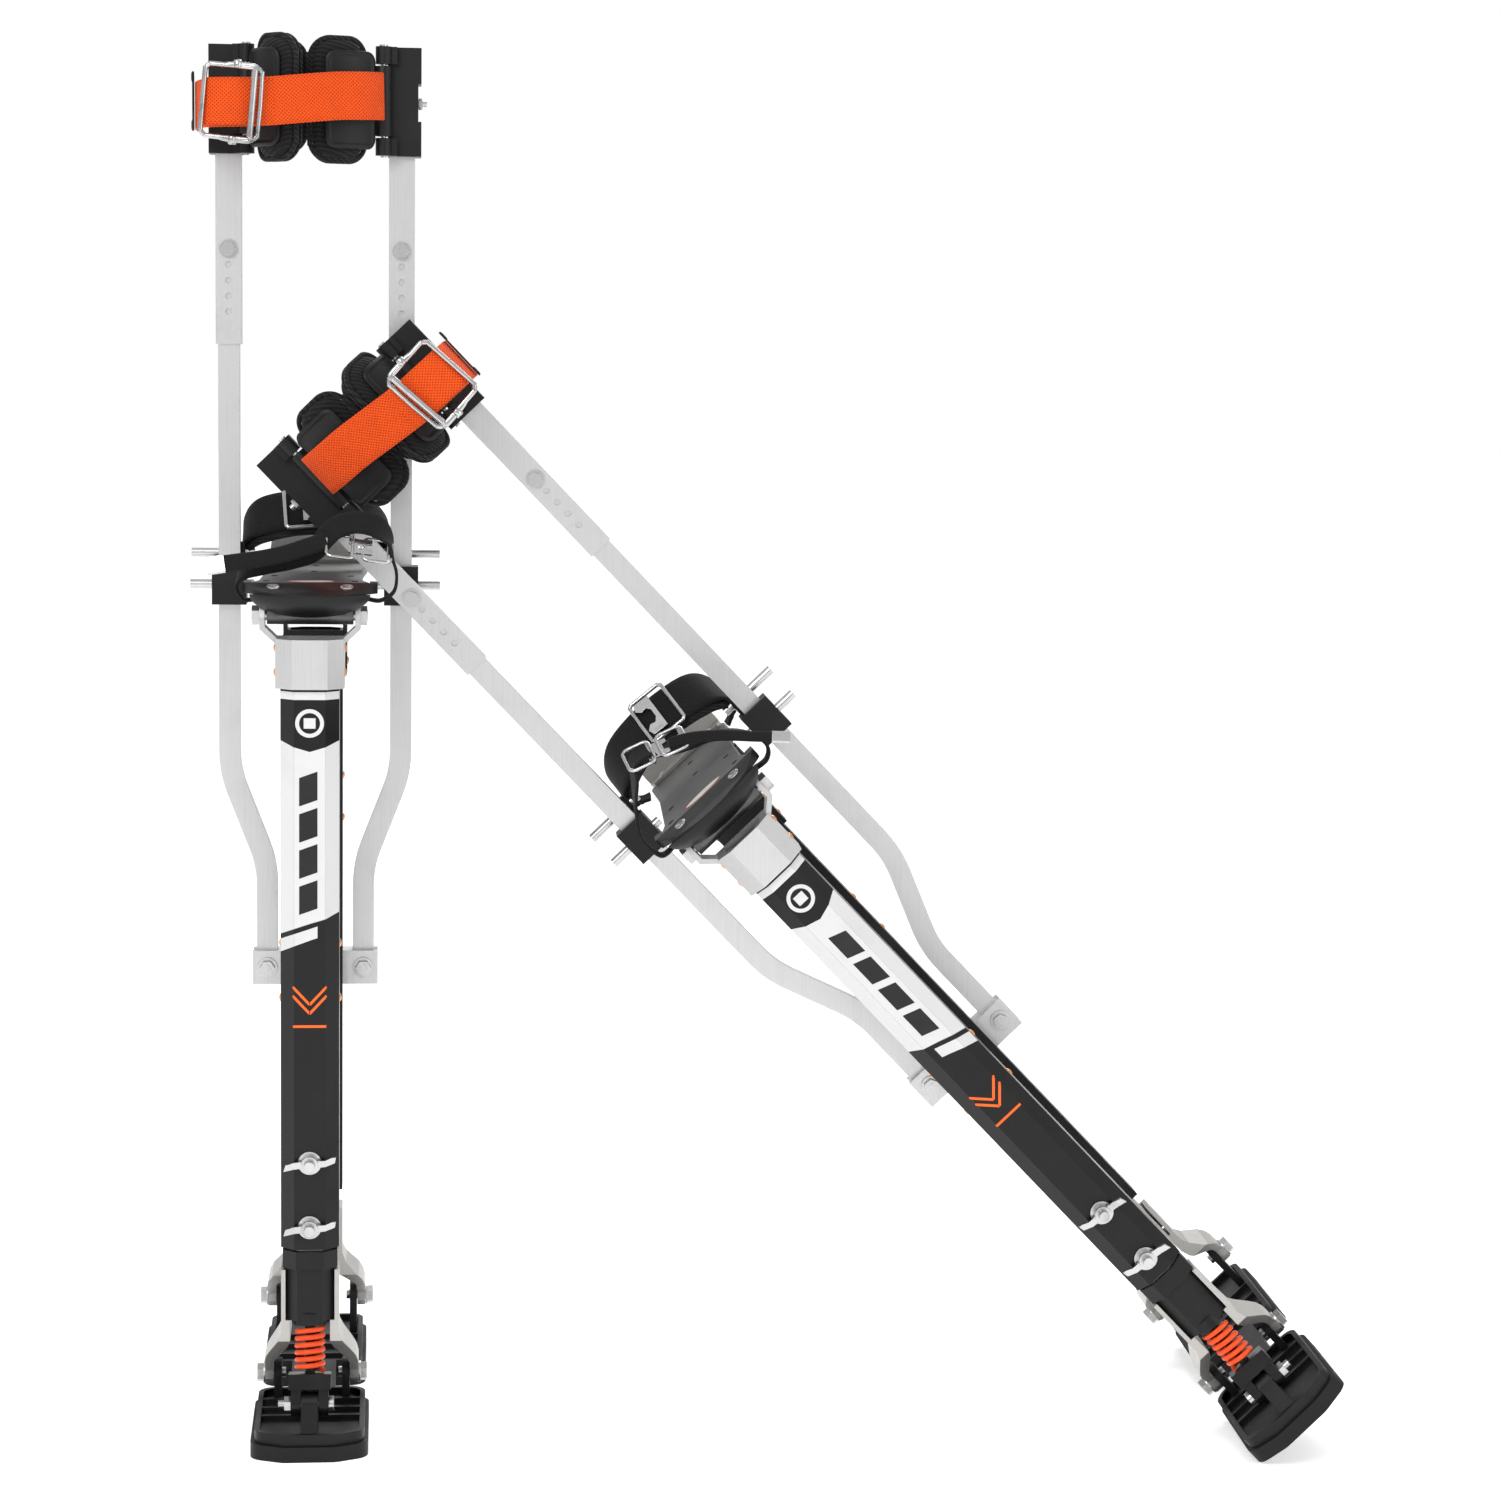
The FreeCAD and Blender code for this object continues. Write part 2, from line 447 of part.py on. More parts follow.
def make_columns():
    collar_body = column_solid("collar_out", 3.9, "Dims.front_y", -1, 596, 634)
    collar_room = column_solid("collar_in", 0.05, "Dims.front_y", -1, 590, "Dims.col_top + 0.1")
    throat = column_solid("collar_throat", -4, "Dims.front_y", -1, 600, 640)
    front_view = [(21, 622), (26.4, 622), (26.4, 630), (38.5, 641), (38.5, 662), (34.5, 662), (34.5, 643),
                  (22, 631)]
    side_view = [("Dims.top_pivot_y - 9", 663), ("Dims.top_pivot_y + 9", 663),
                 ("Dims.top_pivot_y + 12", 650),
                 ("Dims.top_pivot_y + 12", 622), ("Dims.top_pivot_y - 14", 622),
                 ("Dims.top_pivot_y - 12", 650)]
    arm = common("fork_arm", prism("fork_front", "XZ", front_view, "-(Dims.top_pivot_y + 30)", 60),
                 prism("fork_side", "YZ", side_view, 18, 30))
    pivot = ("Dims.top_pivot_y", "Dims.top_pivot_z")
    collar = cut("collar_body", fuse("collar_fused", collar_body, arm, mirrored("fork_arm_left", arm)),
                 collar_room, throat,
                 rod("fork_bore", "Dims.bolt_r + Dims.bore_gap / 2", 100, "X", (-50,) + pivot))
    bolt = fuse("ankle_bolt", rod("ankle_pin", "Dims.bolt_r", 88, "X", (-44,) + pivot),
                hex_head("ankle_head", 7.5, 5, "X", (38.6,) + pivot),
                hex_head("ankle_nut", 7.5, 6, "X", (-44.6,) + pivot))
    rear_tube = column_tube("rear_tube", "Dims.rear_y", 1, "Dims.rear_top")
    rear_arm = common("rear_fork_arm",
                      prism("rear_fork_front", "XZ", [(22.6, 590), (26, 590), (26, 632), (38.5, 645),
                                                      (38.5, 664),
                                                      (34.5, 664), (34.5, 647), (22.6, 634)],
                            "-(Dims.rear_y + 30)", 60),
                      prism("rear_fork_side", "YZ", [("Dims.rear_y - 12", 590), ("Dims.rear_y + 12", 590),
                                                     ("Dims.rear_y + 17", 664),
                                                     ("Dims.rear_y - 21", 664)], 20, 30))
    wide_pivot = block("rear_fork_room", (100, 20, 24), (0, "Dims.rear_top_pivot_y"),
                       "Dims.top_pivot_z - 9")
    rear_arm_cut = cut("rear_fork_open", rear_arm, wide_pivot)
    return {
        "front_column": column_tube("front_column", "Dims.front_y", -1, "Dims.col_top"),
        "front_collar": group("front_collar", collar, bolt),
        "wing_bolt_lower": wing_bolt("wing_bolt_lower", "Dims.low_bolt_z"),
        "wing_bolt_upper": wing_bolt("wing_bolt_upper", "Dims.low_bolt_z + Dims.hole_pitch"),
        "rear_column": group("rear_column", rear_tube, rear_arm_cut,
                             mirrored("rear_fork_left", rear_arm_cut)),
    }


# ------------------------------------------------------------------ calf struts
def bent_tube(name, width, depth, points, bend_radius):
    """A solid of rectangular section along a path in the XZ plane with round bends."""
    vectors = [FreeCAD.Vector(x, 0, z) for x, z in points]
    edges = []
    start = vectors[0]
    for before, corner, after in zip(vectors, vectors[1:], vectors[2:]):
        way_in = (corner - before).normalize()
        way_out = (after - corner).normalize()
        turn = way_in.getAngle(way_out)
        reach = bend_radius * math.tan(turn / 2)
        arc_start = corner - way_in * reach
        arc_end = corner + way_out * reach
        towards = (way_out - way_in).normalize()
        middle = corner + towards * (bend_radius / math.cos(turn / 2) - bend_radius)
        edges.append(Part.makeLine(start, arc_start))
        edges.append(Part.Arc(arc_start, middle, arc_end).toShape())
        start = arc_end
    edges.append(Part.makeLine(start, vectors[-1]))
    path = Part.Wire(edges)
    x0, z0 = points[0]
    section = Part.makePolygon([FreeCAD.Vector(x0 + sx * width / 2, sy * depth / 2, z0)
                                for sx, sy in ((-1, -1), (1, -1), (1, 1), (-1, 1), (-1, -1))])
    return path.makePipeShell([section], True, False)


def make_struts():
    foot, low, high, top = (dim(a) for a in ("strut_foot_z", "bend_low_z", "bend_high_z", "strut_top_z"))
    inner_x, outer_x, bend = dim("strut_low_x"), dim("strut_x"), dim("bend_r")
    width, depth, wall = dim("strut_w"), dim("strut_d"), dim("strut_wall")
    route = [(inner_x, foot), (inner_x, low), (outer_x, high), (outer_x, top)]
    long_route = [(inner_x, foot - 1), (inner_x, low), (outer_x, high), (outer_x, top + 1)]
    bent = add("Part::Feature", "bent_strut")
    bent.Shape = bent_tube("strut", width, depth, route, bend).cut(
        bent_tube("strut_bore", width - 2 * wall, depth - 2 * wall, long_route, bend))
    place(bent, 0, "Dims.strut_y", 0)
    strut = cut("strut_cut", bent,
                slot("strut_slot", "2 * Dims.calf_bolt_r + 0.6", "Dims.strut_x", "Dims.strut_y", 30,
                     "Dims.calf_bolt_z - 1", "Dims.calf_bolt_z + Dims.calf_travel + 1"),
                rod("strut_foot_bore", "Dims.calf_bolt_r + 0.05", 40, "Y",
                    ("Dims.strut_low_x", "Dims.strut_y - 20", "Dims.strut_bolt_z")),
                rod("strut_rod_bore", "Dims.arch_rod_r + 0.05", 40, "X",
                    ("Dims.strut_x - 20", "Dims.strut_y", "Dims.rod_low_z")))
    bracket_x = "(Dims.col_w / 2 + 0.05 + Dims.strut_low_x + Dims.bracket_w / 2 + 0.5) / 2"
    bracket_w = "Dims.strut_low_x + Dims.bracket_w / 2 + 0.5 - Dims.col_w / 2 - 0.05"
    bracket = cut("strut_bracket",
                  block("bracket_block", (bracket_w, "Dims.bracket_d", "Dims.bracket_h"),
                        (bracket_x, "Dims.strut_y"), "Dims.bracket_z"),
                  block("bracket_mouth", ("Dims.strut_w + 0.1", "Dims.strut_d + 0.1", 40),
                        ("Dims.strut_low_x", "Dims.strut_y"), "Dims.strut_foot_z - 0.05"),
                  block("bracket_open", (40, 15, 40), ("Dims.strut_low_x + 12 + 20 - 3.2",
                                                       "Dims.strut_y"), 320),
                  rod("bracket_bore", "Dims.calf_bolt_r + 0.05", 40, "Y",
                      ("Dims.strut_low_x", "Dims.strut_y - 20", "Dims.strut_bolt_z")))
    lower = group("lower_struts", strut, bracket, mirrored("strut_left", strut),
                  mirrored("bracket_left", bracket))

    guide = cut("guide_block",
                block("guide_body", ("Dims.block_w", "Dims.block_d", "Dims.block_h"),
                      ("Dims.strut_x", "Dims.strut_y"),
                      "Dims.block_z"),
                block("guide_mouth", ("Dims.strut_w + 0.1", "Dims.strut_d + 0.1", 60),
                      ("Dims.strut_x", "Dims.strut_y"), 630),
                rod("guide_bore", "Dims.arch_rod_r + 0.05", 60, "X",
                    (45, "Dims.strut_y", "Dims.rod_low_z")))
    ear = cut("guide_ear", block("ear_block", (12, 10, 36), ("Dims.strut_x - 6",
                                                             "Dims.strut_y + Dims.block_d / 2 + 5"), 660),
              rod("ear_bore", "Dims.arch_rod_r + 0.05", 60, "X",
                  (45, "Dims.strut_y + Dims.block_d / 2 + 5", "Dims.rod_high_z")))
    guide_right = fuse("guide_right", guide, ear)
    guides = group("guide_blocks", guide_right, mirrored("guide_left", guide_right))

    fasteners = []
    low_pin = ("Dims.strut_low_x", "Dims.strut_y")
    bracket_bolt = fuse("bracket_bolt",
                        rod("bracket_pin", "Dims.calf_bolt_r", 36, "Y",
                            (low_pin[0], "Dims.strut_y - 18", "Dims.strut_bolt_z")),
                        rod("bracket_washer", 8.5, 1.5, "Y", (low_pin[0], "Dims.strut_y - 13.6",
                                                              "Dims.strut_bolt_z")),
                        hex_head("bracket_nut", 6.4, 4, "Y", (low_pin[0], "Dims.strut_y - 17.6",
                                                              "Dims.strut_bolt_z")),
                        hex_head("bracket_head", 6.4, 4, "Y",
                                 (low_pin[0], "Dims.strut_y + 12.1", "Dims.strut_bolt_z")))
    low_rod = rod("arch_rod_low", "Dims.arch_rod_r", 52, "X", (50, "Dims.strut_y", "Dims.rod_low_z"))
    high_rod = rod("arch_rod_high", "Dims.arch_rod_r", 52, "X",
                   (50, "Dims.strut_y + Dims.block_d / 2 + 5", "Dims.rod_high_z"))
    for piece in (bracket_bolt, low_rod, high_rod):
        fasteners += [piece, mirrored("left_fastener", piece)]
    for level in (0, 1):
        height = "Dims.low_bolt_z + %d * Dims.hole_pitch" % level
        fasteners.append(fuse("rear_bolt", rod("rear_bolt_pin", "Dims.bolt_r", 46, "Y",
                                               (0, "Dims.rear_y - 23", height)),
                              hex_head("rear_bolt_head", 7.5, 5, "Y",
                                       (0, "Dims.rear_y + Dims.col_d / 2 + 0.1", height)),
                              hex_head("rear_bolt_nut", 7.5, 5, "Y",
                                       (0, "Dims.rear_y - Dims.col_d / 2 - 5.1", height))))
    return {"lower_struts": lower, "guide_blocks": guides, "rear_fasteners": group("rear_fasteners",
                                                                                   *fasteners)}


# ------------------------------------------------------------------ foot plate
def make_foot():
    plate = prism("plate", "XY",
                  [("-Dims.lip_w / 2 + 6", "Dims.lip_y"), ("Dims.lip_w / 2 - 6", "Dims.lip_y"),
                   ("Dims.waist_w / 2", "Dims.lip_y + 30"), ("Dims.waist_w / 2 - 2", "Dims.rear_y - 30"),
                   ("Dims.heel_w / 2", "Dims.plate_heel_y - 30"),
                   ("Dims.heel_w / 2 - 6", "Dims.plate_heel_y"),
                   ("-Dims.heel_w / 2 + 6", "Dims.plate_heel_y"),
                   ("-Dims.heel_w / 2", "Dims.plate_heel_y - 30"),
                   ("-Dims.waist_w / 2 + 2", "Dims.rear_y - 30"),
                   ("-Dims.waist_w / 2", "Dims.lip_y + 30")],
                  "Dims.plate_z", "Dims.plate_t", "5")
    lugs = []
    for lug_y in ("Dims.top_pivot_y", "Dims.rear_top_pivot_y"):
        for side in BOTH_SIDES:
            drop = "Dims.plate_z - Dims.top_pivot_z + 1"
            lugs.append(block("lug_post", ("Dims.lug_t", 14, drop),
                              ("%d * (Dims.lug_x + Dims.lug_t / 2)" % side, lug_y),
                              "Dims.top_pivot_z"))
            lugs.append(rod("lug_head", 7, "Dims.lug_t", "X",
                            ("Dims.lug_x" if side > 0 else "-Dims.lug_x - Dims.lug_t", lug_y,
                             "Dims.top_pivot_z")))
        lugs.append(rod("cross_tube", 7, "2 * Dims.lug_x + 1", "X",
                        ("-Dims.lug_x - 0.5", lug_y, "Dims.top_pivot_z")))
    front_bore = rod("plate_bore", "Dims.bolt_r + Dims.bore_gap", 100, "X",
                     (-50, "Dims.top_pivot_y", "Dims.top_pivot_z"))
    body = cut("plate_body", fuse("plate_fused", plate, *lugs), front_bore)
    rear_pin = rod("rear_plate_pin", 3.5, 84, "X", (-42, "Dims.rear_top_pivot_y", "Dims.top_pivot_z"))
    foot_plate = fuse("foot_plate", body, rear_pin)

    plate_top = "Dims.plate_z + Dims.plate_t"
    outer = add("Part::Feature", "bumper_shape")
    half, nose_out, lip = dim("lip_w") / 2, dim("bumper_nose"), dim("lip_y")
    start, end = FreeCAD.Vector(-half, lip, 0), FreeCAD.Vector(half, lip, 0)
    nose_arc = Part.Arc(start, FreeCAD.Vector(0, lip - nose_out, 0), end).toShape()
    side = 22
    rim = [Part.makeLine(end, FreeCAD.Vector(half, lip + side, 0)),
           Part.makeLine(FreeCAD.Vector(half, lip + side, 0), FreeCAD.Vector(half - 6, lip + side, 0)),
           Part.makeLine(FreeCAD.Vector(half - 6, lip + side, 0),
                         FreeCAD.Vector(half - 6.2, lip - 0.2, 0)),
           Part.makeLine(FreeCAD.Vector(half - 6.2, lip - 0.2, 0),
                         FreeCAD.Vector(-half + 6.2, lip - 0.2, 0)),
           Part.makeLine(FreeCAD.Vector(-half + 6.2, lip - 0.2, 0),
                         FreeCAD.Vector(-half + 6, lip + side, 0)),
           Part.makeLine(FreeCAD.Vector(-half + 6, lip + side, 0), FreeCAD.Vector(-half, lip + side, 0)),
           Part.makeLine(FreeCAD.Vector(-half, lip + side, 0), start)]
    outer.Shape = Part.Face(Part.Wire([nose_arc] + rim)).extrude(FreeCAD.Vector(0, 0, dim("plate_t")))
    place(outer, 0, 0, "Dims.plate_z")
    slope = prism("bumper_slope", "YZ", [("Dims.lip_y + 24", "Dims.plate_z"),
                                         ("Dims.lip_y + 24", plate_top),
                                         ("Dims.lip_y - 1", plate_top),
                                         ("Dims.lip_y - 22", "Dims.plate_z + 2.5"),
                                         ("Dims.lip_y - Dims.bumper_nose - 1", "Dims.plate_z")],
                  "-Dims.lip_w / 2 - 1", "Dims.lip_w + 2")
    dome = add("Part::Ellipsoid", "bumper_dome")
    bind(dome, Radius1="Dims.bumper_drop", Radius2="Dims.lip_w / 2", Radius3="Dims.bumper_nose - 0.2")
    dome.Angle2 = 0
    place(dome, 0, "Dims.lip_y", "Dims.plate_z")
    fork_room = block("fork_room", (120, 80, 60), (0, "Dims.top_pivot_y + 25.5"), "Dims.plate_z - 60")
    plate_room = prism("bumper_room", "XY",
                       [("-Dims.lip_w / 2 + 5.9", "Dims.lip_y - 0.1"),
                        ("Dims.lip_w / 2 - 5.9", "Dims.lip_y - 0.1"),
                        ("Dims.waist_w / 2 + 0.4", "Dims.lip_y + 30.1"),
                        ("-Dims.waist_w / 2 - 0.4", "Dims.lip_y + 30.1")],
                       "Dims.plate_z - 5", 30)
    lip = common("bumper_lip", outer, slope)
    lug_room = block("lug_room", (68, 16, 2), (0, "Dims.top_pivot_y"), "Dims.plate_z - 0.9")
    bumper = cut("toe_bumper", fuse("bumper_body", lip, dome), plate_room, fork_room, lug_room)

    half_base, half_top = "Dims.heel_base_w / 2", "Dims.heel_top_w / 2"
    heel_z = plate_top + " + 0.05"
    heel = prism("heel_plate", "XZ", [("-" + half_base, heel_z), (half_base, heel_z),
                                      (half_base, heel_z + " + 14"),
                                      (half_top, heel_z + " + Dims.heel_h"),
                                      ("-" + half_top, heel_z + " + Dims.heel_h"),
                                      ("-" + half_base, heel_z + " + 14")],
                 "-(Dims.plate_heel_y - 3)", "Dims.heel_t")
    heel_foot = block("heel_foot", ("Dims.heel_base_w", 24, 3), (0, "Dims.plate_heel_y - 17"), heel_z)
    return {"foot_plate": foot_plate, "toe_bumper": bumper, "heel_plate": fuse("heel_plate", heel,
                                                                               heel_foot)}


def arch_band(half_width, base, height, thickness, toe_y, width):
    """A strap that leaves both sides of the foot plate and arches over the foot."""
    def half_ring(half, rise):
        left, right = FreeCAD.Vector(-half, 0, 0), FreeCAD.Vector(half, 0, 0)
        shoulder_left = FreeCAD.Vector(-half, 0, rise * 0.35)
        shoulder_right = FreeCAD.Vector(half, 0, rise * 0.35)
        crown = Part.Arc(shoulder_left, FreeCAD.Vector(0, 0, rise), shoulder_right).toShape()
        return Part.Face(Part.Wire([Part.makeLine(left, shoulder_left), crown,
                                    Part.makeLine(shoulder_right, right), Part.makeLine(right, left)]))
    outer = half_ring(half_width, height).extrude(FreeCAD.Vector(0, width, 0))
    inner = half_ring(half_width - thickness, height - thickness).extrude(FreeCAD.Vector(0, width, 0))
    band = outer.cut(inner)
    band.translate(FreeCAD.Vector(0, toe_y, base))
    return band


def make_straps():
    top = dim("plate_z") + dim("plate_t")
    toe_strap = add("Part::Feature", "toe_strap")
    toe_strap.Shape = arch_band(dim("lip_w") / 2 + 6, top - 4, 52, 3, dim("lip_y") + 1, 20)
    ankle_strap = add("Part::Feature", "ankle_strap")
    ankle_strap.Shape = arch_band(dim("waist_w") / 2 + 7.2, top - 2, 50, 5, 14, 40)
    toe_buckle = cut("toe_buckle", block("toe_frame", (34, 22, 3), (0, "Dims.lip_y + 11"), top + 48.3),
                     block("toe_window", (24, 14, 10), (0, "Dims.lip_y + 11"), top + 46))
    ankle_buckle = cut("ankle_buckle", block("ankle_frame", (34, 44, 3), (0, 34), top + 48.3),
                       block("ankle_window", (24, 36, 10), (0, 34), top + 46))
    return {"foot_straps": group("foot_straps", toe_strap, ankle_strap),
            "foot_buckles": group("foot_buckles", toe_buckle, ankle_buckle)}


# ------------------------------------------------------------------ calf band
def arc_plate(radius, thickness, from_deg, to_deg, height):
    """A curved plate about the calf's axis: angles turn from the front (-Y) towards +X."""
    def at(r, degrees):
        turn = math.radians(degrees)
        return FreeCAD.Vector(r * math.sin(turn), -r * math.cos(turn), 0)
    middle = (from_deg + to_deg) / 2
    outer, inner = radius, radius - thickness
    wire = Part.Wire([Part.Arc(at(outer, from_deg), at(outer, middle), at(outer, to_deg)).toShape(),
                      Part.makeLine(at(outer, to_deg), at(inner, to_deg)),
                      Part.Arc(at(inner, to_deg), at(inner, middle), at(inner, from_deg)).toShape(),
                      Part.makeLine(at(inner, from_deg), at(outer, from_deg))])
    return Part.Face(wire).extrude(FreeCAD.Vector(0, 0, height))


def turned_about_hinge(shape, side, degrees):
    """Opens a cuff's piece about its hinge pin by degrees, away from the calf."""
    hinge = FreeCAD.Vector(side * dim("hinge_x"), dim("hinge_y"), 0)
    return shape.rotated(hinge, FreeCAD.Vector(0, 0, 1), side * degrees)


def make_cuff(side, opening):
    """A moulded cuff on its hinge pin, and the thick pad inside it."""
    name = "left" if side < 0 else "right"
    bottom, height = dim("band_z"), dim("band_h")
    hinge_x, hinge_y, hinge_r = dim("hinge_x"), dim("hinge_y"), dim("hinge_r")
    radius, centre_y, thick = dim("cuff_r"), dim("cuff_cy"), dim("cuff_t")
    plate = arc_plate(radius, thick, 4, 50, height - 8)
    knuckle = Part.makeCylinder(hinge_r + 2.5, height - 30, FreeCAD.Vector(hinge_x, hinge_y - centre_y,
                                                                           11))
    plate = plate.fuse(knuckle)
    plate = plate.cut(Part.makeCylinder(hinge_r / 2 + 0.1, height,
                                        FreeCAD.Vector(hinge_x, hinge_y - centre_y, 0)))
    for knuckle_base in (0, height - 18.2):
        plate = plate.cut(Part.makeCylinder(hinge_r + 3.2, 10.2,
                                            FreeCAD.Vector(hinge_x, hinge_y - centre_y, knuckle_base)))
    pad = arc_plate(radius - thick - 0.4, dim("pad_t"), -3, 44, height + dim("pad_over"))
    pad.translate(FreeCAD.Vector(0, 0, -dim("pad_over") / 2 - 4))
    shapes = []
    for shape in (plate, pad):
        shape.translate(FreeCAD.Vector(0, centre_y, bottom + 4))
        if side < 0:
            shape = shape.mirror(FreeCAD.Vector(), FreeCAD.Vector(1, 0, 0))
        shapes.append(turned_about_hinge(shape, side, opening))
    cuff = add("Part::Feature", "cuff_" + name)
    cuff.Shape = shapes[0]
    pad_piece = add("Part::Feature", "pad_" + name)
    pad_piece.Shape = shapes[1]
    return cuff, pad_piece


def ribbon(points, thickness, width):
    """A strap standing on edge: a closed strip along points in plan, width tall."""
    spots = [FreeCAD.Vector(x, y, 0) for x, y in points]
    ways = [(b - a).normalize() for a, b in zip(spots, spots[1:])]
    sides = []
    for spot, way_in, way_out in zip(spots, ways[:1] + ways, ways + ways[-1:]):
        mitre = FreeCAD.Vector(-way_in.y - way_out.y, way_in.x + way_out.x, 0).normalize()
        spread = thickness / 2 / mitre.dot(FreeCAD.Vector(-way_in.y, way_in.x, 0))
        sides.append((spot + mitre * spread, spot - mitre * spread))
    rim = [left for left, right in sides] + [right for left, right in reversed(sides)]
    return Part.Face(Part.makePolygon(rim + rim[:1])).extrude(FreeCAD.Vector(0, 0, width))


def make_band():
    wall = "Dims.upper_wall"
    hole_y = "Dims.strut_y - Dims.upper_d / 2 - 1"
    holes = [rod("calf_hole", 2.6, 6, "Y",
                 ("Dims.strut_x", hole_y, "Dims.calf_bolt_z - %d * Dims.calf_pitch" % i))
             for i in range(1, 5)]
    upper = cut("upper_strut",
                block("upper_out", ("Dims.upper_w", "Dims.upper_d",
                                    "Dims.upper_top_z - Dims.upper_low_z"),
                      ("Dims.strut_x", "Dims.strut_y"), "Dims.upper_low_z"),
                block("upper_in", ("Dims.upper_w - 2 * %s" % wall, "Dims.upper_d - 2 * %s" % wall, 300),
                      ("Dims.strut_x", "Dims.strut_y"), "Dims.upper_low_z - 1"),
                rod("calf_bore", "Dims.calf_bolt_r + 0.05", 40, "Y",
                    ("Dims.strut_x", "Dims.strut_y - 20", "Dims.calf_bolt_z")),
                *holes)
    housing = cut("housing",
                  block("housing_body", ("Dims.housing_w", "Dims.housing_d", "Dims.band_h"),
                        ("Dims.strut_x + 2", "Dims.strut_y"), "Dims.band_z"),
                  block("housing_mouth", ("Dims.upper_w + 0.1", "Dims.upper_d + 0.1",
                                          "Dims.upper_top_z - Dims.band_z + 1"),
                        ("Dims.strut_x", "Dims.strut_y"), "Dims.band_z - 1"),
                  block("housing_notch", (8, 40, 30), ("Dims.strut_x + 15.5 + 1.5", "Dims.strut_y"),
                        "Dims.band_z + 28"))
    knuckles = []
    for base in (0, "Dims.band_h - 14"):
        arm = block("knuckle_arm", (14, 12, 14), ("Dims.hinge_x + 4", "Dims.hinge_y + 5"),
                    "Dims.band_z + %s" % base)
        eye = rod("knuckle_eye", "Dims.hinge_r + 2.5", 14, "Z",
                  ("Dims.hinge_x", "Dims.hinge_y", "Dims.band_z + %s" % base))
        knuckles += [arm, eye]
    pin_bore = rod("knuckle_bore", "Dims.hinge_r / 2 + 0.05", 120, "Z",
                   ("Dims.hinge_x", "Dims.hinge_y", "Dims.band_z - 10"))
    clear = rod("knuckle_clear", "Dims.hinge_r + 3.2", "Dims.band_h - 28.4", "Z",
                ("Dims.hinge_x", "Dims.hinge_y", "Dims.band_z + 14.2"))
    bracket = cut("band_bracket", fuse("bracket_fused", housing, *knuckles), pin_bore, clear)

    pin = fuse("hinge_pin", rod("hinge_shank", "Dims.hinge_r / 2", "Dims.band_h + 3", "Z",
                                ("Dims.hinge_x", "Dims.hinge_y", "Dims.band_z - 1.5")),
               rod("hinge_cap", 3.4, 1.4, "Z", ("Dims.hinge_x", "Dims.hinge_y",
                                                "Dims.band_z + Dims.band_h + 0.1")))
    calf_bolt = fuse("calf_bolt", rod("calf_pin", "Dims.calf_bolt_r", 24, "Y",
                                      ("Dims.strut_x", "Dims.strut_y - 12", "Dims.calf_bolt_z")),
                     rod("calf_washer", 7.6, 1.4, "Y", ("Dims.strut_x",
                                                        "Dims.strut_y - Dims.upper_d / 2 - 1.5",
                                                        "Dims.calf_bolt_z")),
                     hex_head("calf_head", 6, 3.6, "Y", ("Dims.strut_x",
                                                         "Dims.strut_y - Dims.upper_d / 2 - 5",
                                                         "Dims.calf_bolt_z")),
                     hex_head("calf_nut", 6, 4, "Y", ("Dims.strut_x",
                                                      "Dims.strut_y + Dims.upper_d / 2 + 0.1",
                                                      "Dims.calf_bolt_z")))
    side_bolt = fuse("side_bolt", rod("side_pin", 2.5, 7, "X",
                                      ("Dims.strut_x + 13.1", "Dims.strut_y", "Dims.band_z + 43")),
                     hex_head("side_nut", 4.6, 3.4, "X", ("Dims.strut_x + 13.2", "Dims.strut_y",
                                                          "Dims.band_z + 43")))
    fasteners = []
    for piece in (pin, calf_bolt, side_bolt):
        fasteners += [piece, mirrored("left_band_fastener", piece)]

    strap = add("Part::Feature", "calf_strap")
    strap.Shape = ribbon([(53, -37), (40, -51), (20, -61), (-20, -82), (-62, -86), (-84, -68), (-93, -38),
                          (-93, -2)],
                         dim("strap_t"), dim("strap_w"))
    place(strap, 0, 0, "Dims.strap_z")
    buckle_x, buckle_y = -58, -91
    frame = cut("buckle_frame", block("buckle_plate", (40, 3.6, 52), (buckle_x, buckle_y),
                                      "Dims.strap_z - 8"),
                block("buckle_window", (32, 10, 42), (buckle_x, buckle_y), "Dims.strap_z - 3"))
    left_cuff, left_pad = make_cuff(-1, 30)
    right_cuff, right_pad = make_cuff(1, 0)
    return {"upper_struts": group("upper_struts", upper, mirrored("upper_left", upper)),
            "band_brackets": group("band_brackets", bracket, mirrored("bracket_l", bracket)),
            "band_fasteners": group("band_fasteners", *fasteners),
            "cuff_left": left_cuff, "cuff_right": right_cuff, "pad_left": left_pad,
            "pad_right": right_pad,
            "calf_strap": strap, "calf_buckle": frame}


# ------------------------------------------------------------------ the pair
nodes = {}
for maker in (make_sole, make_spring_unit, make_shanks, make_columns, make_struts, make_foot, make_straps,
              make_band):
    nodes.update(maker())
doc.recompute()

final = {}
for name, piece in nodes.items():
    upright = add("Part::Compound", "a_" + name)
    upright.Links = [piece]
    place(upright, "-Dims.pair_x", "-Dims.pair_y", 0)
    leaning = add("Part::Compound", "b_" + name)
    leaning.Links = [mirrored("other_" + name, piece)]
    yawed = FreeCAD.Rotation(FreeCAD.Vector(0, 0, 1), dim("lean_yaw"))
    turn = yawed * FreeCAD.Rotation(FreeCAD.Vector(0, 1, 0), dim("lean"))
    leaning.Placement = FreeCAD.Placement(FreeCAD.Vector(), turn)
    place(leaning, "Dims.lean_x - Dims.pair_x", "Dims.lean_y - Dims.pair_y", "Dims.lean_z")
    final["a_" + name] = upright
    final["b_" + name] = leaning
doc.recompute()

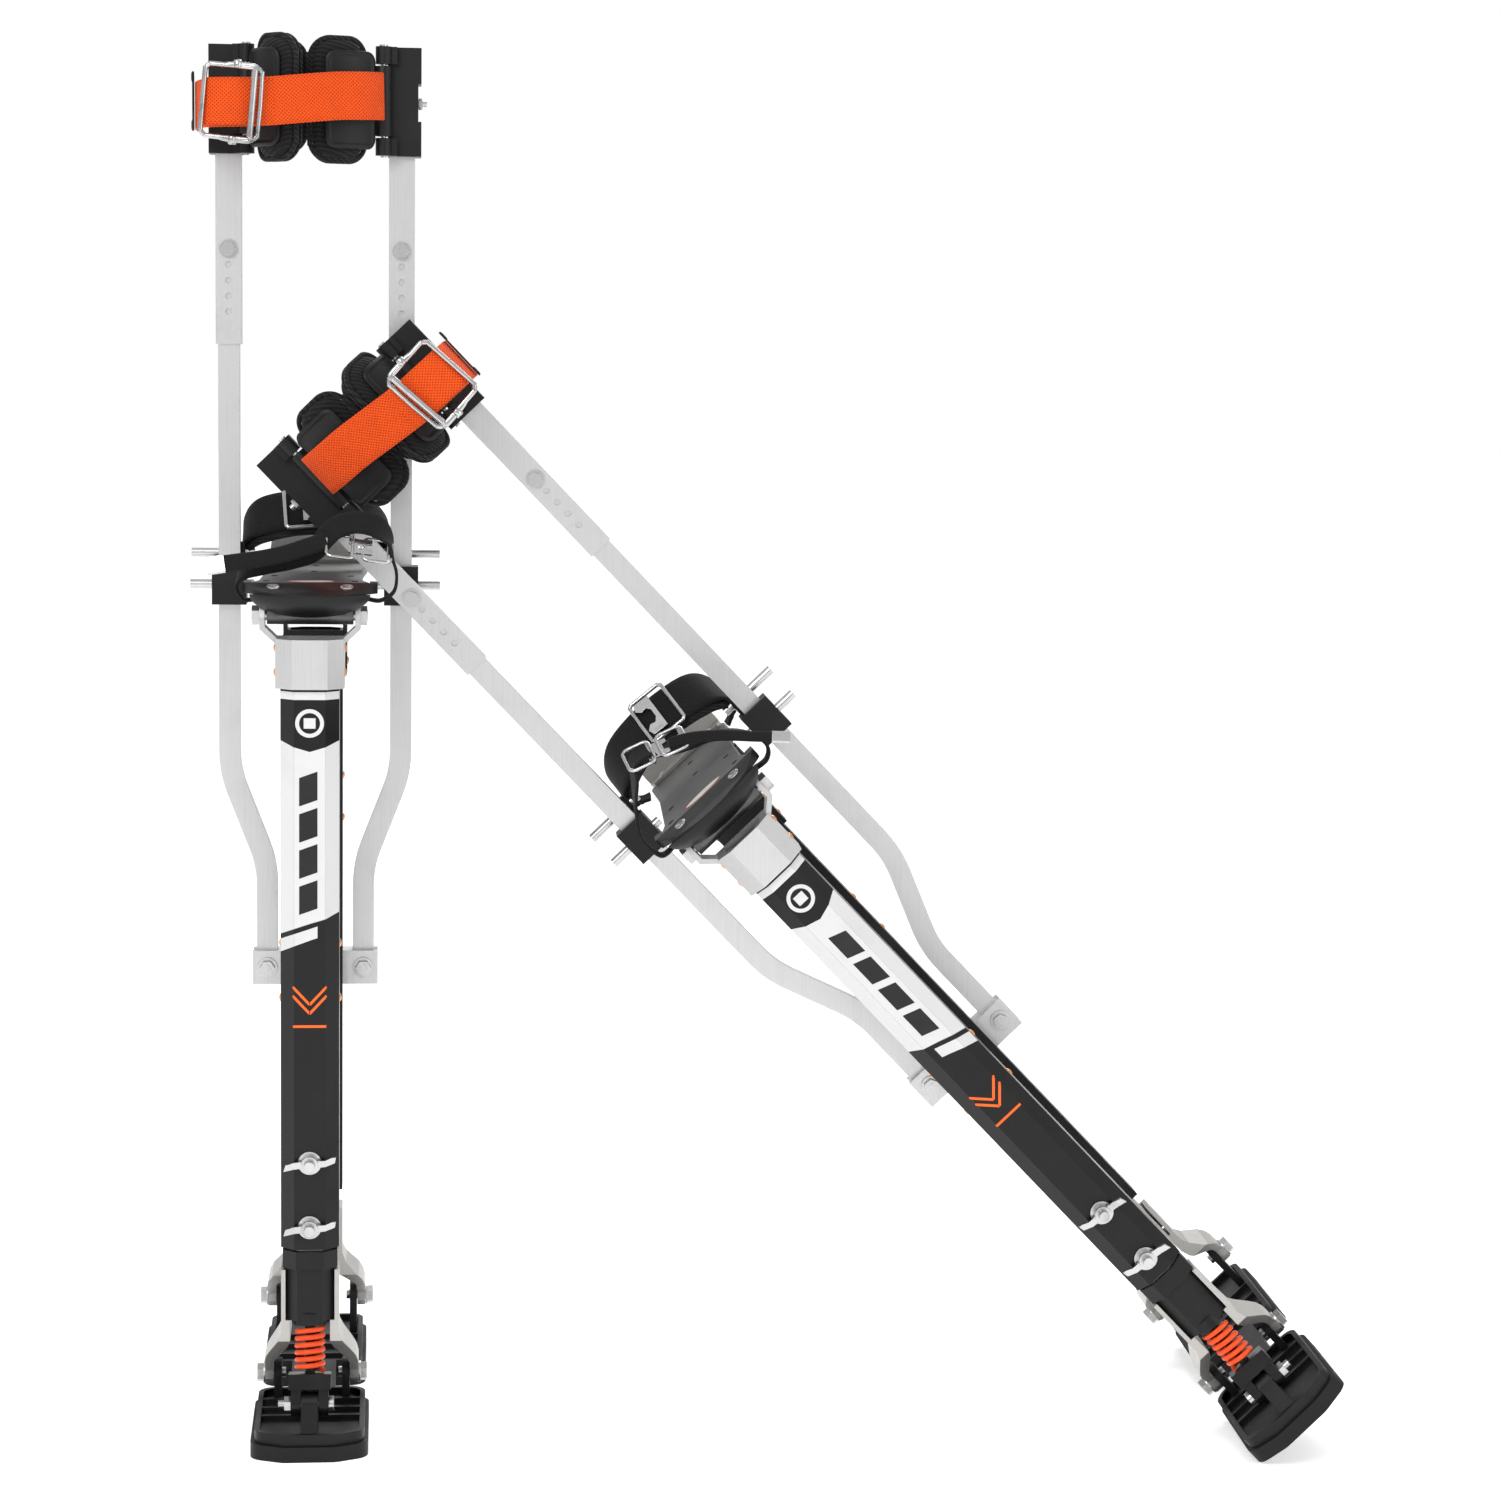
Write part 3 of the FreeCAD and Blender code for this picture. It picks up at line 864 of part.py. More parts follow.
box = FreeCAD.BoundBox()
for obj in final.values():
    box.add(obj.Shape.optimalBoundingBox(False))
sheet.set("pair_x", str(round(dim("pair_x") + box.Center.x, 2)))
sheet.set("pair_y", str(round(dim("pair_y") + box.Center.y, 2)))
lowest = min(obj.Shape.optimalBoundingBox(False).ZMin for name,
             obj in final.items() if name.startswith("b_"))
sheet.set("lean_z", str(round(dim("lean_z") - lowest, 2)))
doc.recompute()

faults = [obj.Name for obj in doc.Objects if {"Invalid", "Error"} & set(obj.State)]
for name, obj in final.items():
    obj.Label = name
    if obj.Shape.isNull() or not obj.Shape.isValid() or not obj.Shape.Solids:
        faults.append(name)
if faults:
    raise RuntimeError("these objects are not sound: " + ", ".join(faults))

os.makedirs("parts", exist_ok=True)
for name, obj in final.items():
    obj.Shape.exportStep("parts/%s.step" % name)
print("pair_x %s pair_y %s lean_z %s" % (dim("pair_x"), dim("pair_y"), dim("lean_z")))
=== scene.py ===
import json
import math

import bpy
from mathutils import Matrix, Vector


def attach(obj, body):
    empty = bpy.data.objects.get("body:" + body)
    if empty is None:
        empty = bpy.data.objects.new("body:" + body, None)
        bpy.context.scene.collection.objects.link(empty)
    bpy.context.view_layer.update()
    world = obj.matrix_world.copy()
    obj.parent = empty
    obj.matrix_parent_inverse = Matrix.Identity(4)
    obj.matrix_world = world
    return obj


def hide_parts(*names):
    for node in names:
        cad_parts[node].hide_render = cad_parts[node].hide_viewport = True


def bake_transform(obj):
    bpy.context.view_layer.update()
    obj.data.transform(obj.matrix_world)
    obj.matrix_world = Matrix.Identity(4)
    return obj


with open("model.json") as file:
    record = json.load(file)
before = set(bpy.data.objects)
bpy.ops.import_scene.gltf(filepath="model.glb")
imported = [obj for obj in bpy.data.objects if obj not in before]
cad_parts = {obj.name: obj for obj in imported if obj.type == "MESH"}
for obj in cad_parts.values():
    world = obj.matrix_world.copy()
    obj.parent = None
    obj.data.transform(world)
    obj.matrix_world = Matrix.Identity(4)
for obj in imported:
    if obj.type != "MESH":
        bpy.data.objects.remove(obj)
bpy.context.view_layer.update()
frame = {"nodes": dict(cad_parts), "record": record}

# ---------------------------------------------------------------- where each stilt stands
# Pieces are made in the upright stilt's own millimetres: x right, y away, z up, toes towards -y.
PAIR_X, PAIR_Y = 355.06, -113.14
LEAN_X, LEAN_Y, LEAN_Z = 779, -60, 31.66
LEAN, LEAN_YAW = math.radians(-44.1), math.radians(-2)
MM = Matrix.Scale(0.001, 4)
PLACES = {
    "a": MM @ Matrix.Translation((-PAIR_X, -PAIR_Y, 0)),
    "b": MM @ Matrix.Translation((LEAN_X - PAIR_X, LEAN_Y - PAIR_Y, LEAN_Z))
    @ Matrix.Rotation(LEAN_YAW, 4, "Z") @ Matrix.Rotation(LEAN, 4, "Y") @ Matrix.Diagonal((-1, 1, 1, 1)),
}


# ---------------------------------------------------------------- materials
class Paint:
    """A node material built up in steps: colour, roughness and bump from procedural textures."""

    def __init__(self, name, base, rough, metal=0.0, edge=0.0004):
        self.mat = bpy.data.materials.new(name)
        self.mat.use_nodes = True
        self.tree = self.mat.node_tree
        self.out = self.tree.nodes["Principled BSDF"]
        self.out.inputs["Base Color"].default_value = (*base, 1)
        self.out.inputs["Roughness"].default_value = rough
        self.out.inputs["Metallic"].default_value = metal
        self.coord = self.node("ShaderNodeTexCoord").outputs["Object"]
        self.colour = None
        self.normal = None
        if edge:
            bevel = self.node("ShaderNodeBevel", samples=4)
            bevel.inputs["Radius"].default_value = edge
            self.normal = bevel.outputs[0]
            self.tree.links.new(self.normal, self.out.inputs["Normal"])

    def node(self, kind, **settings):
        made = self.tree.nodes.new(kind)
        for name, value in settings.items():
            setattr(made, name, value)
        return made

    def link(self, source, target):
        self.tree.links.new(source, target)

    def set(self, **values):
        for name, value in values.items():
            self.out.inputs[name.replace("_", " ")].default_value = value
        return self

    def scaled(self, scale, turn=(0, 0, 0), source=None):
        mapping = self.node("ShaderNodeMapping")
        mapping.inputs["Scale"].default_value = scale if hasattr(scale, "__len__") else (scale,) * 3
        mapping.inputs["Rotation"].default_value = turn
        self.link(source or self.coord, mapping.inputs["Vector"])
        return mapping.outputs[0]

    def noise(self, scale, detail=4.0, roughness=0.55, stretch=(1, 1, 1)):
        tex = self.node("ShaderNodeTexNoise")
        tex.inputs["Scale"].default_value = scale
        tex.inputs["Detail"].default_value = detail
        tex.inputs["Roughness"].default_value = roughness
        self.link(self.scaled(stretch), tex.inputs["Vector"])
        return tex.outputs["Fac"]

    def ramp(self, source, low, high, start=0.0, end=1.0):
        ramp = self.node("ShaderNodeMapRange", interpolation_type="SMOOTHSTEP")
        for name, value in (("From Min", start), ("From Max", end), ("To Min", low), ("To Max", high)):
            ramp.inputs[name].default_value = value
        self.link(source, ramp.inputs["Value"])
        return ramp.outputs[0]

    def maths(self, operation, a, b=None):
        made = self.node("ShaderNodeMath", operation=operation)
        for socket, value in zip(made.inputs, (a, b)):
            if isinstance(value, (int, float)):
                socket.default_value = value
            elif value is not None:
                self.link(value, socket)
        return made.outputs[0]

    def tint(self, factor, colour, strength=1.0):
        """Paints colour over what is there where factor is high."""
        mix = self.node("ShaderNodeMix", data_type="RGBA")
        if self.colour is None:
            mix.inputs[6].default_value = self.out.inputs["Base Color"].default_value
        else:
            self.link(self.colour, mix.inputs[6])
        mix.inputs[7].default_value = (*colour, 1)
        self.link(self.maths("MULTIPLY", factor, strength), mix.inputs[0])
        self.colour = mix.outputs[2]
        self.link(self.colour, self.out.inputs["Base Color"])
        return self

    def roughen(self, factor, low, high):
        self.link(self.ramp(factor, low, high), self.out.inputs["Roughness"])
        return self

    def bump(self, height, distance, strength=1.0):
        bump = self.node("ShaderNodeBump")
        bump.inputs["Strength"].default_value = strength
        bump.inputs["Distance"].default_value = distance
        self.link(height, bump.inputs["Height"])
        if self.normal is not None:
            self.link(self.normal, bump.inputs["Normal"])
        self.normal = bump.outputs[0]
        self.link(self.normal, self.out.inputs["Normal"])
        return self

    def steps(self, u, v, across, along):
        """Staggered dots at a pitch of across by along, from 0 between them to 1 at their middles."""
        turns = [self.maths("COSINE", self.maths("MULTIPLY", value, 2 * math.pi / pitch))
                 for value, pitch in ((u, across), (v, along))]
        return self.maths("MULTIPLY_ADD", self.maths("MULTIPLY", *turns), 0.5)


def metal(name, base, rough, grain=(1, 1, 1), metallic=1.0, stain=0.25, dark=(0.3, 0.3, 0.3)):
    p = Paint(name, base, rough, metallic)
    streak = p.noise(900, 3, 0.6, grain)
    patch = p.noise(28, 5, 0.6)
    p.tint(p.ramp(patch, 0, 1, 0.5, 0.8), dark, stain)
    p.tint(p.ramp(streak, 0, 1, 0.45, 0.75), tuple(c * 0.8 for c in base), 0.35)
    p.roughen(p.maths("MULTIPLY_ADD", streak, 0.5), max(0.05, rough - 0.08), rough + 0.12)
    p.bump(streak, 0.00004, 0.35)
    return p.mat


def plastic(name, base, rough, grain=1500, pit=0.00006, worn=(0.12, 0.12, 0.12), wear=0.35):
    p = Paint(name, base, rough)
    fine = p.noise(grain, 2, 0.5)
    patch = p.noise(22, 6, 0.65)
    p.tint(p.ramp(patch, 0, 1, 0.48, 0.75), worn, wear)
    p.roughen(patch, rough - 0.1, rough + 0.14)
    p.bump(fine, pit, 0.5)
    p.set(Specular_IOR_Level=0.25)
    return p.mat


MATS = {
    "rubber_black": plastic("rubber", (0.006, 0.006, 0.0062), 0.55, 900, 0.00012,
                            (0.016, 0.016, 0.0165), 0.4),
    "plastic_black": plastic("moulded_plastic", (0.0065, 0.0065, 0.0067), 0.42, 1600, 0.00007,
                             (0.015, 0.015, 0.0155), 0.4),
    "cast_grey": metal("cast_aluminium", (0.46, 0.45, 0.43), 0.36, metallic=0.85, stain=0.4),
    "silver": metal("drawn_aluminium", (0.6, 0.6, 0.605), 0.28, (1, 1, 0.02), metallic=0.95, stain=0.15),
    "column_black": plastic("anodised_column", (0.006, 0.0055, 0.006), 0.3, 2600, 0.00002,
                            (0.013, 0.013, 0.0135), 0.4),
    "bolt_zinc": metal("bright_zinc", (0.55, 0.55, 0.555), 0.2, metallic=1.0, stain=0.5,
                       dark=(0.12, 0.12, 0.12)),
    "spring_orange": plastic("spring_paint", (0.78, 0.075, 0.012), 0.3, 1200, 0.00003,
                             (0.42, 0.03, 0.008), 0.35),
    "plate_grey": metal("worn_plate", (0.12, 0.12, 0.122), 0.34, metallic=0.85, stain=0.75,
                        dark=(0.035, 0.035, 0.035)),
    "chrome": metal("chrome_wire", (0.52, 0.52, 0.525), 0.14, (0.08, 0.08, 0.08), metallic=1.0, stain=0.8,
                    dark=(0.08, 0.08, 0.08)),
}

def webbing(name, base, dark, across=2.9, along=3.2):
    """Woven webbing: staggered hollows between the yarns, from its own weave coordinates."""
    p = Paint(name, base, 0.72, edge=0)
    place = p.node("ShaderNodeAttribute", attribute_name="weave")
    split = p.node("ShaderNodeSeparateXYZ")
    p.link(p.scaled(1000, source=place.outputs["Vector"]), split.inputs[0])
    dots = p.steps(split.outputs[0], split.outputs[1], across, along)
    ribs = p.maths("COSINE", p.maths("MULTIPLY", split.outputs[0], 2 * math.pi / (across / 2)))
    patch = p.noise(60, 5, 0.6)
    p.tint(p.ramp(patch, 0, 1, 0.4, 0.8), tuple(c * 0.72 for c in base), 0.5)
    p.tint(p.ramp(dots, 0, 1, 0.4, 0.85), dark, 1.0)
    p.tint(p.ramp(ribs, 0, 1, 0.2, 1.0), tuple(c * 0.85 for c in base), 0.3)
    p.bump(p.maths("SUBTRACT", p.maths("MULTIPLY", ribs, 0.25), dots), 0.0005, 1.0)
    p.set(Sheen_Weight=0.04, Specular_IOR_Level=0.2)
    return p.mat


def padding(name, base, light, ribs=2.6, turn=0.7):
    """Spacer mesh: slanting ribs of knitted cloth with small pits."""
    p = Paint(name, base, 0.85, edge=0)
    wave = p.node("ShaderNodeTexWave", wave_type="BANDS", bands_direction="DIAGONAL")
    wave.inputs["Scale"].default_value = 1000 / ribs / 5.5
    wave.inputs["Distortion"].default_value = 1.2
    wave.inputs["Detail"].default_value = 2
    wave.inputs["Detail Scale"].default_value = 2.5
    p.link(p.scaled(1, (0, turn, 0)), wave.inputs["Vector"])
    cells = p.node("ShaderNodeTexVoronoi", feature="F1")
    cells.inputs["Scale"].default_value = 900
    p.link(p.coord, cells.inputs["Vector"])
    p.tint(p.ramp(wave.outputs["Fac"], 0, 1, 0.35, 0.95), light, 0.6)
    p.tint(p.ramp(p.noise(45, 5), 0, 1, 0.4, 0.75), tuple(c * 0.5 for c in base), 0.5)
    relief = p.maths("ADD", wave.outputs["Fac"], p.maths("MULTIPLY", cells.outputs["Distance"], 0.6))
    p.bump(relief, 0.0005, 0.8)
    p.set(Sheen_Weight=0.1, Sheen_Roughness=0.5, Specular_IOR_Level=0.2)
    return p.mat


MATS["webbing_orange"] = webbing("orange_webbing", (0.88, 0.088, 0.003), (0.27, 0.018, 0.001))
MATS["webbing_black"] = webbing("black_webbing", (0.008, 0.008, 0.0082), (0.002, 0.002, 0.002), 1.6, 2.0)
MATS["pad_mesh"] = padding("spacer_mesh", (0.005, 0.005, 0.0052), (0.02, 0.02, 0.0205), 1.5)
MATS["piping"] = padding("pad_binding", (0.006, 0.006, 0.0062), (0.026, 0.026, 0.027), 1.4, 0.3)
MATS["copper"] = metal("copper_rivet", (0.72, 0.36, 0.17), 0.3, metallic=1.0, stain=0.3,
                       dark=(0.25, 0.1, 0.05))
MATS["decal_light"] = plastic("decal_light", (0.6, 0.6, 0.605), 0.38, 2600, 0.00001, (0.5, 0.5, 0.505), 0.4)
MATS["decal_dark"] = plastic("decal_dark", (0.014, 0.014, 0.015), 0.36, 2600, 0.00001,
                             (0.04, 0.04, 0.042), 0.4)
MATS["decal_orange"] = plastic("decal_orange", (0.9, 0.13, 0.015), 0.4, 2600, 0.00001,
                               (0.75, 0.1, 0.012), 0.3)
MATS["label_light"] = plastic("label_light", (0.6, 0.585, 0.57), 0.45, 2600, 0.00001, (0.4, 0.39, 0.38), 0.5)
MATS["dark_recess"] = plastic("dark_recess", (0.006, 0.006, 0.006), 0.7)


slots = {s["node"]: s["material_slot"] for s in frame["record"]["subparts"] if s.get("material_slot")}
for name, node in frame["nodes"].items():
    kind = MATS.get(slots.get(name), MATS["plastic_black"])
    node.data.materials.clear()
    node.data.materials.append(kind)


# ---------------------------------------------------------------- mesh helpers, all in a stilt's millimetres
def bend(points, steps=8, closed=False):
    """A smooth line through points."""
    spots = [Vector(p) for p in points]
    count = len(spots)
    made = []
    for i in range(count if closed else count - 1):
        p0, p1, p2, p3 = (spots[(i + k) % count] if closed else spots[min(max(i + k, 0), count - 1)]
                          for k in (-1, 0, 1, 2))
        for s in range(steps):
            t = s / steps
            made.append(0.5 * ((2 * p1) + (p2 - p0) * t + (2 * p0 - 5 * p1 + 4 * p2 - p3) * t * t
                               + (3 * p1 - p0 - 3 * p2 + p3) * t ** 3))
    if not closed:
        made.append(spots[-1])
    return made


def ways_along(line, closed):
    count = len(line)
    if closed:
        return [(line[(i + 1) % count] - line[i - 1]).normalized() for i in range(count)]
    return [(line[min(i + 1, count - 1)] - line[max(i - 1, 0)]).normalized() for i in range(count)]


def rings_to_mesh(rings, closed):
    """Vertices and faces from rings of equal length, capped unless they close on themselves."""
    count, size = len(rings), len(rings[0])
    verts = [v for ring in rings for v in ring]
    faces = []
    for i in range(count if closed else count - 1):
        j = (i + 1) % count
        for k in range(size):
            n = (k + 1) % size
            faces.append((i * size + k, i * size + n, j * size + n, j * size + k))
    if not closed:
        faces.append(tuple(range(size - 1, -1, -1)))
        faces.append(tuple((count - 1) * size + k for k in range(size)))
    return verts, faces


def wire(points, radius, closed=False, smooth=8, sides=10):
    """Round wire along points."""
    line = bend(points, smooth, closed) if smooth else [Vector(p) for p in points]
    ways = ways_along(line, closed)
    side = ways[0].orthogonal().normalized()
    rings = []
    for spot, way in zip(line, ways):
        side = (side - way * side.dot(way)).normalized()
        other = way.cross(side)
        rings.append([spot + (side * math.cos(a) + other * math.sin(a)) * radius
                      for a in (2 * math.pi * k / sides for k in range(sides))])
    return rings_to_mesh(rings, closed)


def strap(points, widths, width, thick, steps):
    """Webbing along points, its width along widths, with each vertex's place in the weave."""
    line = bend(points, steps)
    across = bend(widths, steps)
    ways = ways_along(line, False)
    half, edge = width / 2, thick / 2
    rim = [(-half, 0), (-half + edge * 0.6, -edge)]
    rim += [(-half + edge + (width - 2 * edge) * k / 8, -edge) for k in range(1, 8)]
    rim += [(half - edge * 0.6, -edge), (half, 0), (half - edge * 0.6, edge)]
    rim += [(half - edge - (width - 2 * edge) * k / 8, edge) for k in range(1, 8)]
    rim += [(-half + edge * 0.6, edge)]
    rings, weave, run = [], [], 0.0
    for i, (spot, way, wide) in enumerate(zip(line, ways, across)):
        if i:
            run += (spot - line[i - 1]).length
        wide = (wide - way * wide.dot(way)).normalized()
        face = way.cross(wide)
        rings.append([spot + wide * u + face * v for u, v in rim])
        weave += [(u, run, v) for u, v in rim]
    verts, faces = rings_to_mesh(rings, False)
    return verts, faces, weave


def lathe(profile, spot, axis, sides=20):
    """A turned piece: profile is (along, radius) pairs, from its base at spot along axis."""
    axis = Vector(axis).normalized()
    side = axis.orthogonal().normalized()
    other = axis.cross(side)
    rings = [[Vector(spot) + axis * along + (side * math.cos(a) + other * math.sin(a)) * max(radius, 0.01)
              for a in (2 * math.pi * k / sides for k in range(sides))] for along, radius in profile]
    return rings_to_mesh(rings, False)


def joined(*parts):
    verts, faces, weave = [], [], []
    for part in parts:
        start = len(verts)
        verts += list(part[0])
        faces += [tuple(i + start for i in face) for face in part[1]]
        if len(part) > 2:
            weave += part[2]
    return (verts, faces, weave) if weave else (verts, faces)


def slab(outline, low, high, plane="XY"):
    """A flat plate: outline in a plane, from low to high along the plane's third axis."""
    order = {"XY": (0, 1, 2), "XZ": (0, 2, 1), "YZ": (1, 2, 0)}[plane]

    def at(a, b, c):
        spot = [0, 0, 0]
        for axis, value in zip(order, (a, b, c)):
            spot[axis] = value
        return Vector(spot)
    return rings_to_mesh([[at(a, b, low) for a, b in outline], [at(a, b, high) for a, b in outline]], False)


def rounded(width, height, radius, steps=6, centre=(0, 0)):
    """The outline of a rounded rectangle."""
    made = []
    for sx, sy, start in ((1, 1, 0), (-1, 1, 90), (-1, -1, 180), (1, -1, 270)):
        for k in range(steps + 1):
            a = math.radians(start + 90 * k / steps)
            made.append((centre[0] + sx * (width / 2 - radius) + radius * math.cos(a),
                         centre[1] + sy * (height / 2 - radius) + radius * math.sin(a)))
    return made


def new_mesh(name, part, place, material, crease):
    verts, faces = part[0], part[1]
    mesh = bpy.data.meshes.new(name)
    if place.determinant() < 0:
        faces = [tuple(reversed(face)) for face in faces]
    mesh.from_pydata([place @ Vector(v) for v in verts], [], faces)
    if len(part) > 2 and part[2]:
        weave = mesh.attributes.new("weave", "FLOAT_VECTOR", "POINT")
        weave.data.foreach_set("vector", [c * 0.001 for spot in part[2] for c in spot])
    mesh.materials.append(material)
    mesh.shade_smooth()
    mesh.set_sharp_from_angle(angle=math.radians(crease))
    made = bpy.data.objects.new(name, mesh)
    bpy.context.scene.collection.objects.link(made)
    return made


def piece(name, part, body, material, replaces=(), crease=35, smooth=0, bends=None):
    """The same piece on each stilt, in place and riding on its body; when bends is given, it is baked in
    place and rides on no body.
    """
    made = {}
    for p in "ab":
        shape = part[p] if isinstance(part, dict) else part
        o = new_mesh(f"{p}_{name}", shape, PLACES[p], MATS[material], crease)
        if smooth:
            m = o.modifiers.new("round", "SUBSURF")
            m.levels = m.render_levels = smooth
        if bends:
            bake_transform(o)
        else:
            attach(o, f"{p}_{body}")
        if replaces:
            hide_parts(*(f"{p}_{r}" for r in replaces))
        made[p] = o
    return made


# ---------------------------------------------------------------- the column's printed panels
FACE, FOLD, SIDE_X, FRONT_Y, BACK_STEP = 12.0, 15.2, 22.5, -231.0, 11.0


def on_column(s, z, lift):
    """A point lift off the front column, s millimetres round from its middle line."""
    far, sign = abs(s), (1 if s > 0 else -1)
    if far <= FACE:
        return Vector((s, FRONT_Y - lift, z))
    along = min((far - FACE) / FOLD, 1)
    x = FACE + (SIDE_X - FACE) * along
    return Vector((sign * (x + lift * 0.7), FRONT_Y + BACK_STEP * along - lift * 0.7, z))


def clipped(shape, limit, keep_below):
    made = []
    for (s0, z0), (s1, z1) in zip(shape, shape[1:] + shape[:1]):
        in0, in1 = (s0 <= limit) == keep_below, (s1 <= limit) == keep_below
        if in0:
            made.append((s0, z0))
        if in0 != in1:
            t = (limit - s0) / (s1 - s0)
            made.append((limit, z0 + (z1 - z0) * t))
    return made


def print_on_column(shapes, lift=0.2):
    verts, faces = [], []
    for shape in shapes:
        for low, high in ((-99, -FACE), (-FACE, FACE), (FACE, 99)):
            part = clipped(clipped(shape, low + 1e-6, False), high - 1e-6, True)
            if len(part) > 2:
                faces.append(tuple(range(len(verts), len(verts) + len(part))))
                verts += [on_column(s, z, lift) for s, z in part]
    return verts, faces


def ring(outer, inner):
    """Four-sided pieces between two outlines with as many corners."""
    n = len(outer)
    return [[outer[i], outer[(i + 1) % n], inner[(i + 1) % n], inner[i]] for i in range(n)]


def band_line(points, width):
    """A printed line of even width along points."""
    made = []
    for (s0, z0), (s1, z1) in zip(points, points[1:]):
        run = math.hypot(s1 - s0, z1 - z0)
        ds, dz = -(z1 - z0) / run * width / 2, (s1 - s0) / run * width / 2
        made.append([(s0 + ds, z0 + dz), (s0 - ds, z0 - dz), (s1 - ds, z1 - dz), (s1 + ds, z1 + dz)])
    return made


EDGE = FACE + FOLD - 0.2
circle = [(math.sin(2 * math.pi * k / 28), math.cos(2 * math.pi * k / 28)) for k in range(28)]
light = [[(-EDGE, 594), (EDGE, 594), (EDGE, 588), (-EDGE, 588)],
         [(-EDGE, 556), (0, 548), (0, 415), (-EDGE, 406)], [(0, 548), (EDGE, 556), (EDGE, 423), (0, 415)],
         [(-EDGE, 402), (0, 411), (0, 402), (-EDGE, 392)], [(0, 411), (6, 413), (6, 404), (0, 402)]]
badge = ring([(11 * s, 570 + 11 * z) for s, z in circle], [(8 * s, 570 + 8 * z) for s, z in circle])
badge += [[(-4.5, 574), (4.5, 574), (4.5, 566), (-4.5, 566)]]
bars = [[(-8, top), (6, top + 5), (6, top - 17), (-8, top - 22)] for top in (528, 500, 472, 444)]
emblem = []
for grow in (0, 7):
    emblem += band_line([(-13, 366 - grow), (0, 352 - grow), (13, 366 - grow)], 2.0)
emblem += band_line([(-13, 335), (0, 335), (13, 335)], 2.0)
piece("panel_light", print_on_column(light, 0.12), "front_leg", "decal_light", crease=10)
piece("panel_badge", print_on_column(badge, 0.12), "front_leg", "decal_light", crease=10)
piece("panel_bars", print_on_column(bars), "front_leg", "decal_dark", crease=10)
piece("panel_emblem", print_on_column(emblem), "front_leg", "decal_orange", crease=10)


# ---------------------------------------------------------------- rivets
def rivet(spot, axis, radius, height):
    return lathe([(0, radius), (height * 0.35, radius * 0.98), (height * 0.75, radius * 0.72),
                  (height, radius * 0.25), (height, 0)], spot, axis)


copper = [rivet((side * x, -203, z), (side, 0, 0), 3.2, 1.7)
          for side in (-1, 1) for x, z in ((22.5, 396), (22.5, 353))]
copper += [rivet((side * 26.4, -206, z), (side, 0, 0), 3.4, 1.8) for side in (-1, 1) for z in (626, 607)]
piece("front_rivets", joined(*copper), "front_leg", "copper")
rear_spots = ((22.5, 470), (22.5, 505), (26, 600), (26, 618))
rear = [rivet((side * x, -8, z), (side, 0, 0), 3.2, 1.6) for side in (-1, 1) for x, z in rear_spots]
piece("rear_rivets", joined(*rear), "rear_leg", "copper")


# ---------------------------------------------------------------- calf band: cuffs and pads
HINGE = Vector((55, -24, 0))
CUFF_R, CUFF_Y, BAND_Z, BAND_H = 66.0, 15.0, 1011.0, 87.0
CUFF_Z, CUFF_DEG = BAND_Z + 43, 27.5
PAD_R, PAD_DEG, LEAF_DEG = CUFF_R - 3.6, 19.5, 24
LEFT_OPEN, LEFT_LEAF_OPEN = 30, 18


def on_cuff(side, turn=LEFT_OPEN):
    """From the right cuff's place to a cuff's own place. The left one stands open by turn degrees."""
    if side == "right":
        return Matrix.Identity(4)
    spin = Matrix.Rotation(math.radians(-turn), 4, "Z")
    hinge = Matrix.Translation((-HINGE.x, HINGE.y, 0))
    return hinge @ spin @ hinge.inverted() @ Matrix.Diagonal((-1, 1, 1, 1))


def moved(part, matrix):
    faces = [tuple(reversed(f)) for f in part[1]] if matrix.determinant() < 0 else part[1]
    return ([matrix @ Vector(v) for v in part[0]], faces, *part[2:])


def squared(u, v, length, height, radius):
    """Pulls a point of a rectangle inside its rounded corners."""
    over_u, over_v = abs(u) - (length / 2 - radius), abs(v) - (height / 2 - radius)
    if over_u > 0 and over_v > 0:
        far, reach = math.hypot(over_u, over_v), max(over_u, over_v)
        scale = reach / far
        u = math.copysign(length / 2 - radius + over_u * scale, u)
        v = math.copysign(height / 2 - radius + over_v * scale, v)
    return u, v


def plate_faces(across, tall):
    """Faces of a plate: two layers of a grid of points, joined round their rim."""
    size, faces = (across + 1) * (tall + 1), []
    for j in range(tall):
        for i in range(across):
            a = j * (across + 1) + i
            quad = (a, a + 1, a + across + 2, a + across + 1)
            faces += [quad, tuple(size + k for k in reversed(quad))]
    rim = list(range(across + 1)) + [j * (across + 1) + across for j in range(1, tall + 1)]
    rim += [tall * (across + 1) + i for i in range(across - 1, -1, -1)]
    rim += [j * (across + 1) for j in range(tall - 1, 0, -1)]
    return faces + [(b, a, size + a, size + b) for a, b in zip(rim, rim[1:] + rim[:1])]


